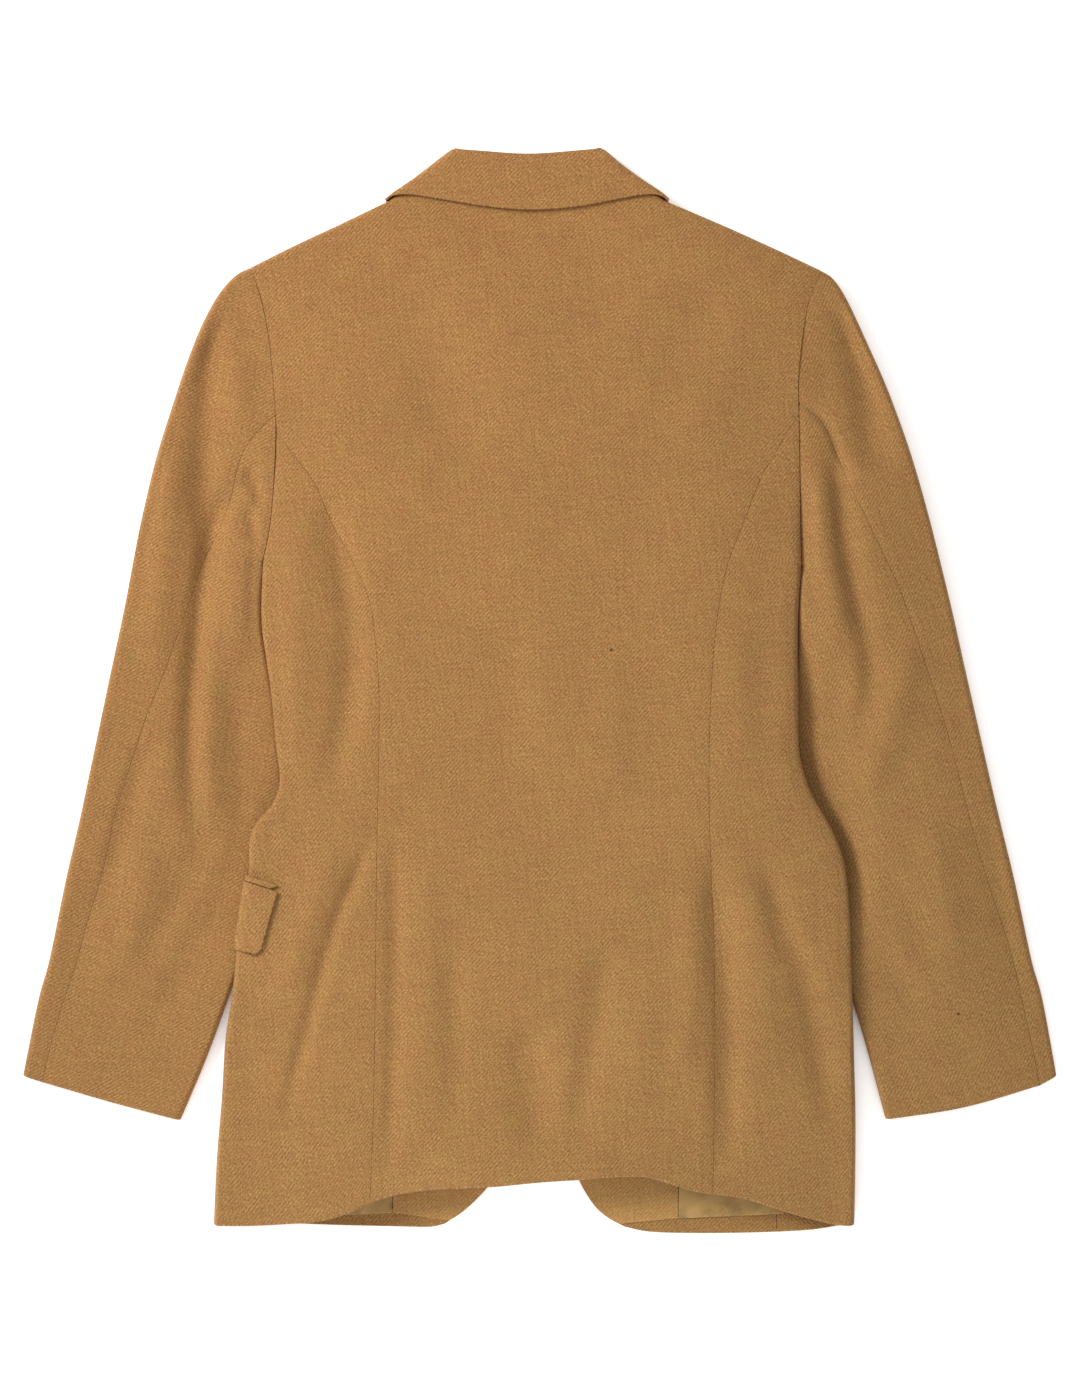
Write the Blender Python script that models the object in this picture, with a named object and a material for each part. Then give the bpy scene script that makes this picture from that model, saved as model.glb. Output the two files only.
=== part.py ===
"""A single-breasted three-button blazer, laid flat on its front with its back up.

Every length below is in millimetres. X runs to the right of the laid garment, Y runs from hem to
collar and Z is the height above the table. The origin is on the table, at the middle of the plan.
The body is a flattened tube: a top layer (the back) and a low layer (the fronts) that meet in a
rounded fold along each side and in the shoulder seams. The sleeves are flattened tubes as well.
"""

import bmesh
import bpy
import mathutils
import numpy as np

MM = 0.001
CLOTH = 1.6
LINING_WALL = 1.0
SEAM_GAP = 0.3
LAY_GAP = 0.45
FLAP_GAP = 1.2
TIP_BLUNT = 0.2
FOLD_RADIUS = 4.0
RIM_INSET = 0.8
RIM_SHARE = 0.3

# Heights of the layers above the table.
LOW_BASE = 4.4
LOW_SIDE = 12.8
HEM_LIFT = 9.0
SLEEVE_TUCK_TOP = 9.2

# The closing: the centre-front line and the three buttons.
CENTRE_FRONT = -4.0
BUTTON_TOP = 75.0
BUTTON_STEP = 100.0
BUTTON_COUNT = 3
BUTTON_RADIUS = 10.0
BUTTON_THICKNESS = 3.2
HORN_ROUGHNESS = 0.35
SATIN_ROUGHNESS = 0.45
# The left front clears the one above it by this much, between these X and these Y.
LAP_CLEAR = 0.9
LAP_SPAN = (-62, -34)
LAP_LEVELS = (-385, -340)

POCKET_FLAP_DEPTH = 50.0
JET_DEPTH = 4.2
JET_WALL = 1.0

CAMEL = (0.397, 0.202, 0.072)
CAMEL_DARK = (0.365, 0.184, 0.066)
LINING_OLIVE = (0.190, 0.110, 0.036)
HORN_BROWN = (0.105, 0.055, 0.026)

# Outlines in plan: rows of X, Y read along each seam or fold.
ARMHOLE_LEFT = [(-214, 312.5), (-206, 289), (-200, 259), (-196.2, 222), (-194.8, 191),
                (-196, 156), (-197.6, 134), (-200, 115), (-204.2, 95)]
ARMHOLE_RIGHT = [(208.5, 310), (199, 289), (194, 263), (190.5, 230), (190.9, 203),
                 (191.5, 164), (191.8, 137), (192.3, 110), (193, 91.5)]
SHOULDER_LEFT = [(-214, 312.5), (-178, 330), (-144, 346), (-113.5, 359.5), (-97, 367), (-83, 373)]
SHOULDER_RIGHT = [(208.5, 310), (174, 326), (137, 343), (94, 359.7), (78, 367), (63, 374)]
BACK_NECK = [(-83, 373), (-60, 366), (-35, 362), (-8, 360.5), (20, 362), (45, 367), (63, 374)]
SIDE_FOLD_LEFT = [(-204.2, 95), (-205.6, 67), (-205, 45), (-201.5, 21), (-197.6, -7), (-194.6, -40),
                  (-191.8, -66), (-196.8, -83), (-210, -99), (-214.4, -113), (-214.8, -133),
                  (-219, -159), (-224, -196), (-227.2, -225), (-232.4, -259), (-235.4, -303),
                  (-239, -347), (-241.2, -394)]
SIDE_FOLD_RIGHT = [(193, 91.5), (191, 60), (190.2, 23), (190.2, -15), (191, -42), (194.6, -60),
                   (201.3, -78), (212.4, -97), (220.5, -114), (225.7, -134), (228.7, -169),
                   (229.6, -199), (231.6, -259), (233.1, -303), (233.2, -347), (232.4, -394)]
PRINCESS_LEFT = [(-194.8, 191), (-177, 167.6), (-164.3, 149), (-153, 122.5), (-139, 96.6),
                 (-126, 67), (-120.6, 30), (-118.4, -7), (-119, -66), (-120, -108), (-120.6, -160),
                 (-121, -201), (-122.4, -303), (-125.1, -379.2)]
PRINCESS_RIGHT = [(190.9, 203), (182.8, 191.3), (171, 170.6), (162.8, 157), (149.5, 122.5),
                  (137, 89), (129.5, 45), (125.8, -7), (124.4, -71), (126, -128), (128.4, -182),
                  (128.8, -232), (128.6, -295), (127.3, -373.3)]
HEM_BACK = [(-125.1, -379.2), (-106, -373.3), (-82, -369.6), (-58, -368.1), (-30, -366.5),
            (0, -363.5), (29, -361.6), (51, -360), (75, -360), (92.5, -364.4), (111, -370.5),
            (127.3, -373.3)]
HEM_SIDE_LEFT = [(-125.1, -379.2), (-138.4, -385.2), (-162, -391.6), (-189, -393.4), (-215, -394.4),
                 (-241.2, -394)]
HEM_SIDE_RIGHT = [(127.3, -373.3), (144.3, -375), (161.3, -379.2), (180, -385.2), (200.5, -390.4),
                  (219, -393.6), (232.4, -394)]

# The seam between side body and front, hidden under the body.
FRONT_ARMHOLE_LEFT = [(-214, 312.5), (-199, 289), (-187, 259), (-179, 222), (-176, 191),
                      (-178, 156), (-182, 134), (-190, 113), (-204.2, 95)]
FRONT_ARMHOLE_RIGHT = [(208.5, 310), (193, 289), (181, 263), (173, 230), (170, 203),
                       (172, 164), (175, 137), (181, 112), (193, 91.5)]
FRONT_SEAM_LEFT = [(-182, 134), (-168, 105), (-160, 60), (-155, 0), (-153, -60), (-160, -120),
                   (-170, -200), (-176, -300), (-179, -394.6)]
FRONT_SEAM_RIGHT = [(175, 137), (164, 105), (157, 60), (152, 0), (150, -60), (158, -120),
                    (168, -200), (173, -300), (176, -399.6)]
FRONT_HEM_LEFT = [(-179, -394.6), (-150, -395.7), (-110, -396.6), (-82, -397), (-71, -394.8)]
FRONT_HEM_RIGHT = [(176, -399.6), (150, -400.4), (110, -400.6), (81, -400), (63, -397)]
FRONT_EDGE_LEFT = [(14, 92), (14, -30), (14, -125), (10, -190), (0, -255), (-15, -315),
                   (-30, -352), (-38.5, -367.4), (-46.6, -377), (-57.7, -386.6), (-71, -394.8)]
FRONT_EDGE_RIGHT = [(-22, 92), (-22, -30), (-22, -125), (-18, -190), (-8, -255), (8, -315),
                    (22, -350), (29, -362.2), (34, -372), (42.2, -383.7), (51, -391.1), (63, -397)]
HEM_SIDE_FRONT_LEFT = [(-241.2, -394), (-215, -394.3), (-179, -394.6)]
HEM_SIDE_FRONT_RIGHT = [(232.4, -394), (203.5, -398.2), (176, -399.6)]

# Sleeves: the outer silhouette, the fold at the underarm and the hind-arm seam between them.
SLEEVE_OUTER_LEFT = [(-214, 312.5), (-226, 306), (-240, 289), (-254.6, 259.4), (-271, 215),
                     (-288.6, 156), (-306.4, 67), (-319, 8), (-338, -81), (-351, -140),
                     (-363.3, -199.4), (-371.5, -229), (-382.6, -282)]
SLEEVE_INNER_LEFT = [(-204.2, 95), (-207, 67), (-206.2, 45), (-202.6, 21), (-198.8, -7),
                     (-196, -40), (-193.6, -67), (-193, -99), (-197, -133), (-206, -164),
                     (-217, -192), (-229, -222), (-248.6, -273.4), (-267, -315.6)]
HIND_SEAM_LEFT = [(-195.4, 203), (-211, 187.6), (-221, 170.6), (-227, 147), (-236, 121),
                  (-248, 96.6), (-260.5, 59.6), (-277, 14), (-290, -18), (-304.9, -62.5),
                  (-315, -96), (-323, -133), (-334.5, -170), (-343.4, -203), (-352, -229),
                  (-361, -259), (-368.5, -286.3)]
SLEEVE_OUTER_RIGHT = [(208.5, 310), (217, 304), (228, 289), (242, 259.4), (261.2, 215),
                      (281.2, 156), (304, 67), (317.5, 8), (338, -81), (352, -140),
                      (364.8, -199.4), (373, -229), (382.6, -283)]
SLEEVE_INNER_RIGHT = [(193, 91.5), (192.2, 60), (191.4, 23), (191.6, -15), (192.4, -42),
                      (194, -60), (195, -81), (197, -110), (201.5, -140), (209, -170),
                      (219, -199.4), (231, -229), (243.5, -266), (256.8, -315.6)]
HIND_SEAM_RIGHT = [(190.9, 212), (208, 198), (217, 179.4), (228, 152), (240, 128), (252, 103),
                   (264, 78), (275, 48), (286, 15), (297, -18), (306.4, -51.4), (315, -85),
                   (324, -118), (337, -159), (348, -192), (356.7, -229), (367, -273.4), (370, -289)]

# The collar leaf: its roll line and its free edge, then the parts that turn under to the fronts.
ROLL_LINE = [(-62.9, 400), (-44, 398.3), (-8, 397), (30, 398.5), (48.1, 400.5)]
LEAF_EDGE = [(-112.5, 364), (-105, 366.7), (-85, 366), (-60.7, 361.5), (-37, 357.8), (-8, 355.6),
             (27.4, 357.8), (59.2, 363.7), (75.5, 367), (88, 367.4), (93, 364.2)]
LEAF_WINGS = dict(left=[(-63, 307), (-84, 301), (-105, 296)], right=[(50, 307), (68, 301), (86, 296)])

# The leaf lies at LEAF_LEVEL or on the back, whichever is higher, and softens towards its roll.
LEAF_LEVEL = 15.6
ROLL_DROP = 2.5
ROLL_REACH = 12.0
LEAF_SPAN = (0.06, 0.94)

# Lapels: the roll line, the free edge and the gorge, each from the collar end, and how far down
# the roll they are cut before the two fronts cross.
LAPEL_SHARE = 0.79
ROLLS = dict(left=[(-63, 305), (-35, 210), (14, 92)], right=[(50, 305), (25, 210), (-22, 92)])
LAPEL_EDGES = dict(left=[(-131, 281), (-96, 190), (6, 92)], right=[(113, 281), (82, 190), (-14, 92)])
GORGES = dict(left=[(-63, 305), (-99, 291), (-131, 281)], right=[(50, 305), (84, 291), (113, 281)])

# The fore-arm seam, hidden under each sleeve, and the levels where rows of the sleeve line up.
FORE_SEAM_LEFT = [(-182, 134), (-201, 127), (-217, 110), (-229, 84), (-234, 40), (-229, -20),
                  (-227, -66), (-231, -133), (-250, -192), (-262, -225), (-301, -307.5)]
FORE_SEAM_RIGHT = [(175, 137), (191, 130), (206, 112), (217, 84), (222, 40), (221, -20),
                   (222, -66), (230, -133), (244, -192), (258, -229), (292, -311)]
CAP_LEVEL = 222.0
UNDERARM_LEVEL = 88.0

# The facing, the lining at the front hem and the pockets.
FACING_INNER = dict(left=-109.2, right=102.5)
FACING_START = 0.745
FACING_END = 0.97
FACING_SET = 2.5
LININGS = dict(left=(-168.0, -110.0, -386.5), right=(103.3, 181.0, -388.5))
LINING_REACH = 62.0
FLAP_WRAP = dict(left=23.0, right=0.0)
POCKET_LEVEL = dict(left=-140.5, right=-143.0)
FLAP_LEAN = 6.0
FLAP_SLOPE = 0.34
FLAP_INSET = 9.0
FLAP_REACH = 118.0
FLAP_BELOW = 0.3
JET_ABOVE = 0.2
FLAP_EASE = 8.0
# The stand: its height above the table, the spans of the neck and roll it covers and its setbacks.
STAND_HEIGHT = 11.0
STAND_NECK_SPAN = (0.14, 0.86)
STAND_ROLL_SPAN = (0.1, 0.9)
STAND_ABOVE_NECK = 3.0
STAND_BELOW_ROLL = 4.5

# Rows and columns of the faceted cloth.
WELD = 0.01
TIP_ROWS = 2
BODY_ROWS = 13
BACK_COLUMNS = 9
SIDE_COLUMNS = 6
FRONT_COLUMNS = 6
FRONT_EDGE_ROWS = 15
CAP_ROWS = 4
LOW_CAP_ROWS = 5
SCYE_ROWS = 2
SEAM_ROWS = BODY_ROWS + 4
NECK_ROWS = 10
HEM_ROWS = 2.0
END_ROWS = 1.5
FRONT_HEM_ROWS = 1.0
NARROWEST = 9.0
SLEEVE_ROWS = 10
HIND_ROWS = 5
FORE_ROWS = 4
TOP_SLEEVE_COLUMNS = 5
UNDER_SLEEVE_COLUMNS = 6
LAPEL_ROWS = 9
LAPEL_COLUMNS = 3
FACING_ROWS = 8
FACING_COLUMNS = 3
LINING_ROWS = 4
LINING_COLUMNS = 5
LEAF_ROWS = 5
LEAF_COLUMNS = 10
WING_COLUMNS = 5
STAND_ROWS = 8
STAND_COLUMNS = 3
FLAP_ROWS = 5
FLAP_COLUMNS = 5
BUTTON_SIDES = 16
BUTTON_REST = 0.35
BUTTON_PROFILE = [(0.82, 0.0), (1.0, 0.8), (1.0, 2.4), (0.93, BUTTON_THICKNESS)]

# Crown of the top layer by level: Y, height in the middle, height at the side. It is centred on
# BODY_MIDDLE, reaches HALF_WIDTH to each side and is squarer than a parabola.
BODY_MIDDLE = -5.0
HALF_WIDTH = 215.0
CROWN_POWER = 2.4
CROWN = [(-400, 27.0, 20.4), (-300, 25.5, 20.4), (-180, 24.5, 20.4), (-90, 22.5, 20.4),
         (0, 24.0, 20.4), (120, 26.5, 20.0), (230, 25.0, 18.0), (320, 20.0, 15.0), (400, 16.0, 13.0)]
# The back's hem arches clear of the fronts: levels and distances from the arch's middle over
# which the lift fades.
ARCH_MIDDLE = 5.0
ARCH_LEVELS = (-385, -290)
ARCH_REACH = (20, 130)
# The low layer rests on the table below BASE_LEVELS and is lifted by the sleeves between
# REST_LEVELS and FREE_LEVELS, out to SIDE_REACH from the side fold.
BASE_LEVELS = (-290, -200)
REST_LEVELS = (-292, -236)
FREE_LEVELS = (-25, 75)
SIDE_REACH = (28, 85)
# Height of a sleeve by level: Y, top height. Its inner part is tucked under the body, and near
# the armhole both its layers blend into the body's.
SLEEVE_TOPS = [(250, 20.0), (120, 20.0), (0, 17.5), (-100, 14.5), (-200, 11.5), (-316, 9.6)]
TUCK_LEVELS = (-30, 60)
ARM_EASE = (0.1, 1.0)
TUCK_REACH = (26, 56)
TOP_BLEND = 90.0
LOW_BLEND = 70.0


def smoothstep(low, high, value):
    """Rise from 0 to 1 between low and high, flat at both ends."""
    t = np.clip((value - low) / (high - low), 0.0, 1.0)
    return t * t * (3.0 - 2.0 * t)


def curve(points):
    """Return a smooth path through the points, as a function of the share of its length."""
    p = np.array(points, float)
    if len(p) > 2:
        padded = np.vstack([2 * p[0] - p[1], p, 2 * p[-1] - p[-2]])
        steps = np.linspace(0, 1, 9)[:-1, None]
        runs = []
        for a, b, c, d in zip(padded, padded[1:], padded[2:], padded[3:]):
            runs.append(0.5 * (2 * b + (c - a) * steps + (2 * a - 5 * b + 4 * c - d) * steps ** 2
                               + (3 * b - a - 3 * c + d) * steps ** 3))
        p = np.vstack(runs + [p[-1:]])
    length = np.concatenate([[0], np.cumsum(np.linalg.norm(np.diff(p, axis=0), axis=1))])
    length /= length[-1]

    def at(t):
        return np.array([np.interp(t, length, p[:, 0]), np.interp(t, length, p[:, 1])])

    at.points = p
    return at


def distance_to(path_points, spot):
    """Plan distance from a spot to a path."""
    a = path_points[:-1]
    run = path_points[1:] - a
    share = np.clip(np.sum((spot - a) * run, axis=1) / np.sum(run * run, axis=1), 0, 1)
    return np.min(np.linalg.norm(a + share[:, None] * run - spot, axis=1))


def rounding(distance, radius=FOLD_RADIUS):
    """How far the section has opened at this distance in from a fold: a quarter round."""
    inner = np.clip(1 - distance / radius, 0, 1)
    return np.sqrt(1 - inner * inner)


def turned(path):
    """The same path run the other way."""

    def at(t):
        return path(1 - t)

    at.points = path.points[::-1]
    return at


def make_material(name, colour, roughness):
    """A plain surface with the piece's own colour and roughness."""
    material = bpy.data.materials.new(name)
    material.use_nodes = True
    shader = material.node_tree.nodes["Principled BSDF"]
    shader.inputs["Base Color"].default_value = (*colour, 1.0)
    shader.inputs["Roughness"].default_value = roughness
    shader.inputs["Metallic"].default_value = 0.0
    return material


def add_object(name, points, faces, colour, roughness=0.9):
    """Build one closed piece from points in millimetres, with its faces turned outwards."""
    mesh = bpy.data.meshes.new(name)
    work = bmesh.new()
    vertices = [work.verts.new(tuple(np.array(p) * MM)) for p in points]
    for face in faces:
        work.faces.new([vertices[i] for i in face])
    bmesh.ops.triangulate(work, faces=work.faces[:])
    if work.calc_volume(signed=True) < 0:
        bmesh.ops.reverse_faces(work, faces=work.faces[:])
    work.to_mesh(mesh)
    work.free()
    piece = bpy.data.objects.new(name, mesh)
    piece.data.materials.append(make_material(name, colour, roughness))
    bpy.context.scene.collection.objects.link(piece)
    return piece


def share_near(path, spot):
    """The share of a path's length at the place nearest a spot."""
    shares = np.linspace(0, 1, 1201)
    spots = np.array([path(t) for t in shares])
    return shares[np.argmin(np.linalg.norm(spots - np.array(spot), axis=1))]


def run_of(path, start, end, steps, fine_start=False, fine_end=False):
    """Stations along a path between two shares, closer together where a fold begins or ends."""
    shares = list(np.linspace(start, end, steps + 1))
    length = np.linalg.norm(np.diff(path.points, axis=0), axis=1).sum() * abs(end - start)
    step = (end - start) / length
    if fine_start:
        shares = [start, start + step * FOLD_EASE, start + step * FOLD_RADIUS] + shares[1:]
    if fine_end:
        shares = shares[:-1] + [end - step * FOLD_RADIUS, end - step * FOLD_EASE, end]
    return [path(t) for t in shares]


def chain(*runs):
    """One list of stations from several that share their end points."""
    out = list(runs[0])
    for run in runs[1:]:
        out += list(run[1:])
    return out


FOLD_EASE = FOLD_RADIUS * (1 - np.cos(np.radians(45)))
CROSS = dict(left=-1.0, right=1.0)
SIDES = ("left", "right")
TABLES = dict(
    left=dict(arm=ARMHOLE_LEFT, low_arm=FRONT_ARMHOLE_LEFT, shoulder=SHOULDER_LEFT,
              fold=SIDE_FOLD_LEFT, princess=PRINCESS_LEFT, front_seam=FRONT_SEAM_LEFT,
              edge=FRONT_EDGE_LEFT, hem=HEM_SIDE_LEFT, low_hem=HEM_SIDE_FRONT_LEFT,
              front_hem=FRONT_HEM_LEFT, outer=SLEEVE_OUTER_LEFT, inner=SLEEVE_INNER_LEFT,
              hind=HIND_SEAM_LEFT, fore=FORE_SEAM_LEFT),
    right=dict(arm=ARMHOLE_RIGHT, low_arm=FRONT_ARMHOLE_RIGHT, shoulder=SHOULDER_RIGHT,
               fold=SIDE_FOLD_RIGHT, princess=PRINCESS_RIGHT, front_seam=FRONT_SEAM_RIGHT,
               edge=FRONT_EDGE_RIGHT, hem=HEM_SIDE_RIGHT, low_hem=HEM_SIDE_FRONT_RIGHT,
               front_hem=FRONT_HEM_RIGHT, outer=SLEEVE_OUTER_RIGHT, inner=SLEEVE_INNER_RIGHT,
               hind=HIND_SEAM_RIGHT, fore=FORE_SEAM_RIGHT))
PATHS = {side: {name: curve(rows) for name, rows in TABLES[side].items()} for side in SIDES}
BODY_FOLDS = [PATHS[side][name].points for name in ("shoulder", "fold") for side in SIDES]


def body_runs(side):
    """Stations on a side's seams and folds, hem to shoulder, that both neighbours share."""
    p = PATHS[side]
    hind_share = share_near(p["arm"], TABLES[side]["hind"][0])
    princess_share = share_near(p["arm"], TABLES[side]["princess"][0])
    front_share = share_near(p["low_arm"], TABLES[side]["front_seam"][0])
    return dict(
        cap=run_of(p["arm"], 0, hind_share, CAP_ROWS, fine_start=True),
        notch=run_of(p["arm"], hind_share, princess_share, 1),
        scye=run_of(p["arm"], princess_share, 1, SCYE_ROWS, fine_end=True),
        low_cap=run_of(p["low_arm"], 0, front_share, LOW_CAP_ROWS, fine_start=True),
        low_scye=run_of(p["low_arm"], front_share, 1, SCYE_ROWS, fine_end=True),
        princess=run_of(p["princess"], 1, 0, SEAM_ROWS),
        front_seam=run_of(p["front_seam"], 1, 0, SEAM_ROWS),
        fold=run_of(p["fold"], 1, 0, BODY_ROWS))


def body_top(x, y):
    """Height of the back's outer face before the folds round it off."""
    levels = np.array(CROWN)
    middle = np.interp(-y, -levels[::-1, 0], levels[::-1, 1])
    edge = np.interp(-y, -levels[::-1, 0], levels[::-1, 2])
    across = np.clip(abs(x - BODY_MIDDLE) / HALF_WIDTH, 0, 1)
    arch = (1 - smoothstep(*ARCH_LEVELS, y)) * (1 - smoothstep(*ARCH_REACH, abs(x - ARCH_MIDDLE)))
    return edge + (middle - edge) * (1 - across ** CROWN_POWER) + HEM_LIFT * arch


def side_distance(x, y):
    """Distance in from the nearer side fold."""
    left = PATHS["left"]["fold"].points
    right = PATHS["right"]["fold"].points
    return max(0.0, min(x - np.interp(-y, -left[:, 1], left[:, 0]),
                        np.interp(-y, -right[:, 1], right[:, 0]) - x))


def body_low(x, y):
    """Height of the fronts' outer face: flat on the table at the hem, higher over the sleeves."""
    base = LOW_BASE * smoothstep(*BASE_LEVELS, y)
    side = smoothstep(*REST_LEVELS, y) * (1 - smoothstep(*FREE_LEVELS, y))
    reach = 1 - smoothstep(*SIDE_REACH, side_distance(x, y))
    return base + (LOW_SIDE - base) * side * reach


def body_point(spot, layer, lift=0.0):
    """A point of the body's outer face, on the top layer (+1) or the low layer (-1)."""
    x, y = spot
    top = body_top(x, y)
    low = body_low(x, y)
    opened = rounding(min(distance_to(f, spot) for f in BODY_FOLDS))
    middle = 0.5 * (top + low)
    return np.array([x, y, middle + layer * opened * 0.5 * (top - low) + lift])


def shares_across(width, count, folded):
    """Shares across a row of this width; they follow the quarter round where it is folded."""
    if not folded:
        return list(np.linspace(0, 1, count + 1))
    ease, radius = FOLD_EASE / max(width, NARROWEST), FOLD_RADIUS / max(width, NARROWEST)
    return [0.0, ease] + list(np.linspace(radius, 1, count - 1))


def blunt(first, second):
    """Stop two runs just short of the tip where they meet."""
    for run in (first, second):
        run[-1] = run[-1] + (run[-2] - run[-1]) * TIP_BLUNT


def rows_between(start, end, count, folded=False, near=None, far=None, reach=HEM_ROWS):
    """Plan rows from start stations to end stations; near and far bend the first and last rows."""
    total = len(start) - 1
    rows = []
    for k, (a, b) in enumerate(zip(start, end)):
        row = []
        for u in shares_across(np.linalg.norm(b - a), count, folded):
            spot = a + (b - a) * u
            if near is not None:
                spot = spot + (near(u) - near(0) * (1 - u) - near(1) * u) * np.exp(-k / reach)
            if far is not None:
                spot = spot + (far(u) - far(0) * (1 - u) - far(1) * u) * np.exp(-(total - k) / END_ROWS)
            row.append(spot)
        rows.append(row)
    return rows


def raised(rows, lift_to):
    """Lift every plan spot of the rows to its height."""
    return np.array([[lift_to(spot) for spot in row] for row in rows])


def add_sheet(name, grids, colour, outward, wall=CLOTH, clear=0.0, roughness=0.9):
    """Weld grids of outer points into one surface and give it a wall with slanted rims."""
    spots, index, quads = [], {}, []
    for grid in grids:
        numbers = []
        for row in grid:
            line = []
            for point in row:
                key = tuple(np.round(point / WELD).astype(int))
                if key not in index:
                    index[key] = len(spots)
                    spots.append(point)
                line.append(index[key])
            numbers.append(line)
        for upper, lower in zip(numbers, numbers[1:]):
            for k in range(len(upper) - 1):
                corners = [upper[k], upper[k + 1], lower[k + 1], lower[k]]
                face = [c for i, c in enumerate(corners) if c != corners[i - 1]]
                if len(set(face)) > 2:
                    quads.append(face)
    shell = bmesh.new()
    verts = [shell.verts.new(tuple(p)) for p in spots]
    for face in quads:
        shell.faces.new([verts[i] for i in face])
    bmesh.ops.recalc_face_normals(shell, faces=shell.faces[:])
    shell.normal_update()
    faced = sum((f.normal * f.calc_area() for f in shell.faces), shell.faces[0].normal * 0)
    if faced.dot(mathutils.Vector(outward)) < 0:
        bmesh.ops.reverse_faces(shell, faces=shell.faces[:])
        shell.normal_update()
    shell.verts.index_update()
    inward = [np.zeros(3) for _ in spots]
    rim_edges = []
    for edge in shell.edges:
        if len(edge.link_faces) == 1:
            loop = edge.link_loops[0]
            a, b = loop.vert, loop.link_loop_next.vert
            across = np.cross(np.array(edge.link_faces[0].normal), np.array(b.co - a.co))
            across = across / max(np.linalg.norm(across), 1e-9)
            inward[a.index] += across
            inward[b.index] += across
            rim_edges.append((a.index, b.index))
    points, inner = [], []
    for vert, pull in zip(shell.verts, inward):
        normal = np.array(vert.normal)
        size = np.linalg.norm(pull)
        pull = pull / size if size > 1e-6 else pull
        room = RIM_SHARE * min(edge.calc_length() for edge in vert.link_edges)
        at = np.array(vert.co) + normal * clear
        points.append(at + pull * 0.5 * SEAM_GAP)
        inner.append(at - normal * wall + pull * (0.5 * SEAM_GAP + min(RIM_INSET, room)))
    shift = len(points)
    faces = [tuple(v.index for v in f.verts) for f in shell.faces]
    faces += [tuple(i + shift for i in reversed(f)) for f in faces]
    faces += [(b, a, a + shift, b + shift) for a, b in rim_edges]
    shell.free()
    return add_object(name, points + inner, faces, colour, roughness)


# ---------------------------------------------------------------- body

def build_back():
    """The centre back: from princess seam to princess seam, armholes, shoulders and neck."""
    edges = {}
    for side in SIDES:
        run = body_runs(side)
        edges[side] = chain(run["princess"], run["notch"][::-1], run["cap"][::-1])
    top = curve(SHOULDER_LEFT[:-1] + BACK_NECK + SHOULDER_RIGHT[-2::-1])
    rows = rows_between(edges["left"], edges["right"], BACK_COLUMNS, near=curve(HEM_BACK),
                        reach=HEM_ROWS)
    for k in range(len(rows)):
        weight = smoothstep(len(rows) - 1 - NECK_ROWS, len(rows) - 1, k)
        for j, u in enumerate(np.linspace(0, 1, BACK_COLUMNS + 1)):
            bend = top(u) - top(0) * (1 - u) - top(1) * u
            rows[k][j] = rows[k][j] + bend * weight
    add_sheet("back_centre", [raised(rows, lambda p: body_point(p, 1))], CAMEL, (0, 0, 1))


def build_side(side):
    """A side body: from the princess seam round the side fold to the front seam."""
    run, p = body_runs(side), PATHS[side]
    edge = chain(run["fold"], run["scye"][::-1])
    low_edge = chain(run["fold"], run["low_scye"][::-1])
    blunt(edge, run["princess"])
    blunt(low_edge, run["front_seam"])
    upper = rows_between(edge, run["princess"], SIDE_COLUMNS, True, near=turned(p["hem"]),
                         reach=HEM_ROWS)
    lower = rows_between(low_edge, run["front_seam"], SIDE_COLUMNS - 1, True, near=p["low_hem"],
                         reach=HEM_ROWS)
    grids = [raised(upper, lambda s: body_point(s, 1)), raised(lower, lambda s: body_point(s, -1))]
    add_sheet(f"side_body_{side}", grids, CAMEL, (CROSS[side], 0, 0))


def front_lift(side, x, y):
    """The left front passes over the right one at the closing, seen from the table up."""
    if side == "right":
        return 0.0
    return (CLOTH + LAP_CLEAR) * smoothstep(*LAP_SPAN, x) * smoothstep(*LAP_LEVELS, y)


def build_front(side):
    """A front: from the front seam to its edge, up to the shoulder and down the roll line."""
    run, p = body_runs(side), PATHS[side]
    outer = chain(run["front_seam"], run["low_cap"][::-1])
    neck = curve([ROLLS[side][-1], ROLLS[side][1], TABLES[side]["shoulder"][-1]])
    fold_rows = 2
    neck_rows = len(outer) - 1 - FRONT_EDGE_ROWS - fold_rows
    inner = chain(run_of(p["edge"], 1, 0, FRONT_EDGE_ROWS), run_of(neck, 0, 1, neck_rows, fine_end=True))
    rows = rows_between(outer, inner, FRONT_COLUMNS, near=p["front_hem"], far=p["shoulder"],
                        reach=FRONT_HEM_ROWS)
    grid = raised(rows, lambda s: body_point(s, -1, front_lift(side, s[0], s[1])))
    add_sheet(f"front_{side}", [grid], CAMEL, (0, 0, -1))


def under_front(p):
    """A point on the low face of the fronts near the closing."""
    return np.array([p[0], p[1], max(body_low(p[0], p[1]), LOW_BASE)])


def inside_front(side, p):
    """A point on the inner face of a front, near its hem."""
    return np.array([p[0], p[1], body_low(p[0], p[1]) + front_lift(side, p[0], p[1]) + CLOTH])


def build_lapel(side):
    """A lapel: the facing turned out along the roll line, lying under its front."""
    roll, edge, gorge = curve(ROLLS[side]), curve(LAPEL_EDGES[side]), curve(GORGES[side])
    starts = run_of(roll, 0, LAPEL_SHARE, LAPEL_ROWS)
    ends = run_of(edge, 0, LAPEL_SHARE, LAPEL_ROWS)
    rows = rows_between(starts, ends, LAPEL_COLUMNS, near=gorge, reach=END_ROWS)
    add_sheet(f"lapel_{side}", [raised(rows, under_front)], CAMEL, (0, 0, -1), clear=LAY_GAP + CLOTH)


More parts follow.
